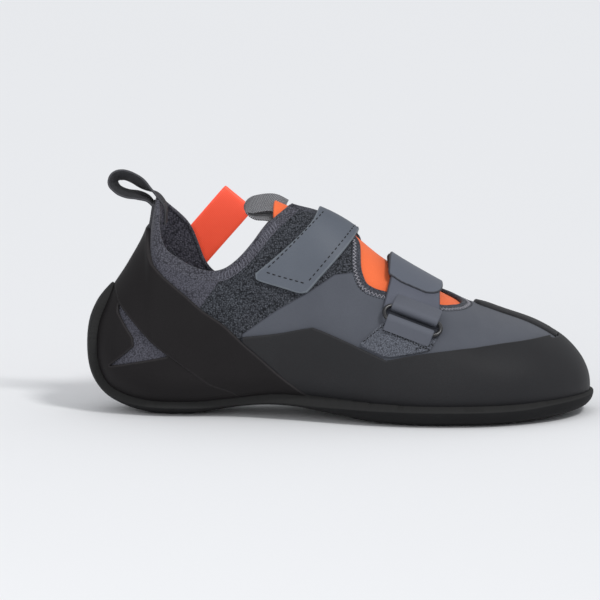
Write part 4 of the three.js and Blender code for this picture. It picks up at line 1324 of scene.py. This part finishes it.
def make_keeper():
    keeper = wrapped("keeper_patch", lateral_only(seen_from_side(softened(KEEPER_PATCH, 0.08))), CLEARANCE,
                     CLEARANCE + WEBBING, rim=0.5)
    dress(keeper, keeper_cloth)
    ride(keeper, "strap", "ring_keeper")
    lift = CLEARANCE + WEBBING
    for name, line, spacing, slants in (
            ("keeper_bar_stitches", [(0.594, 0.44), (0.69, 0.339)], 1.5, (48, -48)),
            ("keeper_edge_stitches", [(0.553, 0.378), (0.598, 0.468)], 2.2, (0,)),
            ("keeper_toe_stitches", [(0.66, 0.345), (0.699, 0.365)], 1.7, (50, -50))):
        spots, normals = spots_from_side(resampled(line, count=40), -1, lift)
        stitches(name, spots, normals, spacing, 1.6, 0.5, slants, dark_thread, slot="strap")


# Pull loops: tapes along the same routes as in the part's source

COLLAR_BACK = np.array([0.118 * FORM_LENGTH, HEEL_HEIGHT])
TONGUE_END = np.array([0.362 * FORM_LENGTH, INSTEP_HEIGHT])
HEEL_ROUTE = COLLAR_BACK + [(-1.2, -2.5), (-4.4, 0.8), (-9.7, 2.6), (-15.6, 3.4), (-20.4, 5.6), (-22.8, 9.3),
                            (-21.2, 12.4), (-17.4, 13.4), (-11.6, 11.4), (-4.9, 6.7), (0.7, 2.8), (4.7, -3),
                            (4.9, -12)]
HEEL_TAIL = 14.0
TONGUE_ROUTE = TONGUE_END + [(5.2, 1.6), (-0.8, 4.4), (-7.8, 4.0), (-14.0, 2.0), (-15.6, 0.2), (-12.3, -0.8),
                             (-4.5, -1.2), (2.0, -2.2)]
HEEL_LOOP_WIDTH = 12.0
TONGUE_LOOP_WIDTH = 13.0
SIDE_LOOP_WIDTH = 19.5
SIDE_LOOP_LENGTH = 52.0
SIDE_LOOP_FOLD = 2.0


def tape(name, route, width, thickness, lean, frame_axes=None):
    line = resampled(centripetal(route), spacing=0.6)
    path = np.stack([line[:, 0], np.zeros(len(line)), line[:, 1]], axis=-1)
    tangent = unit(np.gradient(path, axis=0))
    turn = lean(np.linspace(0.0, 1.0, len(path)))[:, None]
    sideways = np.array([0.0, -1.0, 0.0])
    across = sideways * np.cos(turn) + np.cross(tangent, sideways) * np.sin(turn)
    face = np.cross(tangent, across)
    if frame_axes:
        origin, axes = frame_axes
        path = origin + path @ axes
        across = across @ axes
        face = face @ axes
    return swept(name, path, across, face, tape_section(width, thickness, 12), angle=50)


def make_loops():
    heel = tape("heel_pull_loop", HEEL_ROUTE, HEEL_LOOP_WIDTH, WEBBING,
                lambda share: -(0.2 * smooth(0.0, 0.15, share) + 0.4 * smooth(0.3, 0.45, share))
                * (1 - smooth(0.6, 0.8, share)))
    dress(heel, heel_tape)
    ride(heel, "webbing", "heel_loop")

    def on_collar_back(points, normals):
        height = np.minimum(points[:, 2] - (HEEL_HEIGHT - HEEL_TAIL), HEEL_HEIGHT - 0.5 - points[:, 2])
        across = HEEL_LOOP_WIDTH / 2 - np.abs(points[:, 1])
        return np.minimum(np.minimum(height, across), -normals[:, 0] * 20.0)

    tail = wrapped("heel_loop_tail", on_collar_back, PANEL + 0.05, PANEL + WEBBING, rim=0.4)
    dress(tail, heel_tape)
    ride(tail, "webbing")
    tongue = tape("tongue_pull_loop", TONGUE_ROUTE, TONGUE_LOOP_WIDTH, RIBBON,
                  lambda share: -0.62 + 1.1 * smooth(0.4, 0.75, share))
    dress(tongue, twill_tape)
    ride(tongue, "webbing", "tongue_loop")

    half = SIDE_LOOP_LENGTH / 2
    fold = SIDE_LOOP_FOLD / 2
    foot, _, _, outwards = frame_on_side(0.15, 0.6, 1, BAND_OUTER + CLEARANCE + RIBBON / 2 + fold, 0.0)
    lengthways = np.array([0.645, 0.0, 0.764])
    lengthways = unit(lengthways - outwards * (lengthways @ outwards))
    axes = np.array([lengthways, -np.cross(lengthways, outwards), outwards])
    route = [(-half, -fold), (0, -fold), (half - fold, -fold), (half, 0), (half - fold, fold), (0, fold),
             (-half, fold)]
    side = tape("side_pull_loop", route, SIDE_LOOP_WIDTH, RIBBON, lambda share: 0.0 * share,
                (foot + lengthways * half, axes))
    dress(side, orange_tape)
    ride(side, "bright_fabric", "side_loop")


make_upper()
make_opening_edges()
make_covers()
make_sole()
make_inside()
make_straps()
make_strap_stitches()
make_ring()
make_keeper()
make_loops()


# The room: a pale floor, soft light and the photo's view

VIEW_AZIMUTH = math.radians(4.0)
VIEW_ELEVATION = math.radians(10.0)
VIEW_TARGET = Vector((0.0690, 0.0, 0.0596))
VIEW_WIDTH = 0.3158
LENS = 1000.0
SENSOR = 36.0


def make_camera():
    data = bpy.data.cameras.new("camera")
    data.lens = LENS
    data.sensor_width = SENSOR
    data.clip_end = 100.0
    distance = VIEW_WIDTH * LENS / SENSOR
    back = Vector((math.sin(VIEW_AZIMUTH) * math.cos(VIEW_ELEVATION),
                   -math.cos(VIEW_AZIMUTH) * math.cos(VIEW_ELEVATION), math.sin(VIEW_ELEVATION)))
    camera = new_object("camera", data)
    camera.location = VIEW_TARGET + back * distance
    camera.rotation_euler = (-back).to_track_quat("-Z", "Y").to_euler()
    bpy.context.scene.camera = camera


def make_floor():
    bpy.ops.object.select_all(action="DESELECT")
    bpy.ops.mesh.primitive_plane_add(size=60.0)
    floor = bpy.context.active_object
    floor.name = "floor"
    paper = Finish("floor_paper", 0.95, specular=0.0)
    grain = paper.use(GRAIN, Size=60.0, Contrast=0.4, Patch=400.0)
    paper.colour(paper.mix(grain["Cloud"], (0.845, 0.85, 0.862), (0.855, 0.862, 0.875)))
    dress(floor, paper.material)


def add_sun(name, towards, spread, strength):
    data = bpy.data.lights.new(name, "SUN")
    data.energy = strength
    data.angle = math.radians(spread)
    light = new_object(name, data)
    light.rotation_euler = Vector(towards).to_track_quat("Z", "Y").to_euler()


def add_softbox(name, place, size, power, target=(0.08, 0.0, 0.05)):
    data = bpy.data.lights.new(name, "AREA")
    data.shape = "RECTANGLE"
    data.size, data.size_y = size
    data.energy = power
    light = new_object(name, data)
    light.location = place
    light.rotation_euler = (Vector(target) - Vector(place)).to_track_quat("-Z", "Y").to_euler()


make_camera()
make_floor()
add_sun("key_light", (0.62, -0.62, 1.0), 11.0, 1.25)
add_softbox("front_softbox", (-0.5, -1.8, 0.7), (1.2, 0.9), 7.0)
world = bpy.data.worlds.new("world")
bpy.context.scene.world = world
world.use_nodes = True
world.node_tree.nodes["Background"].inputs["Color"].default_value = (0.93, 0.945, 0.97, 1.0)
world.node_tree.nodes["Background"].inputs["Strength"].default_value = 0.68
bpy.context.scene.view_settings.view_transform = "Standard"
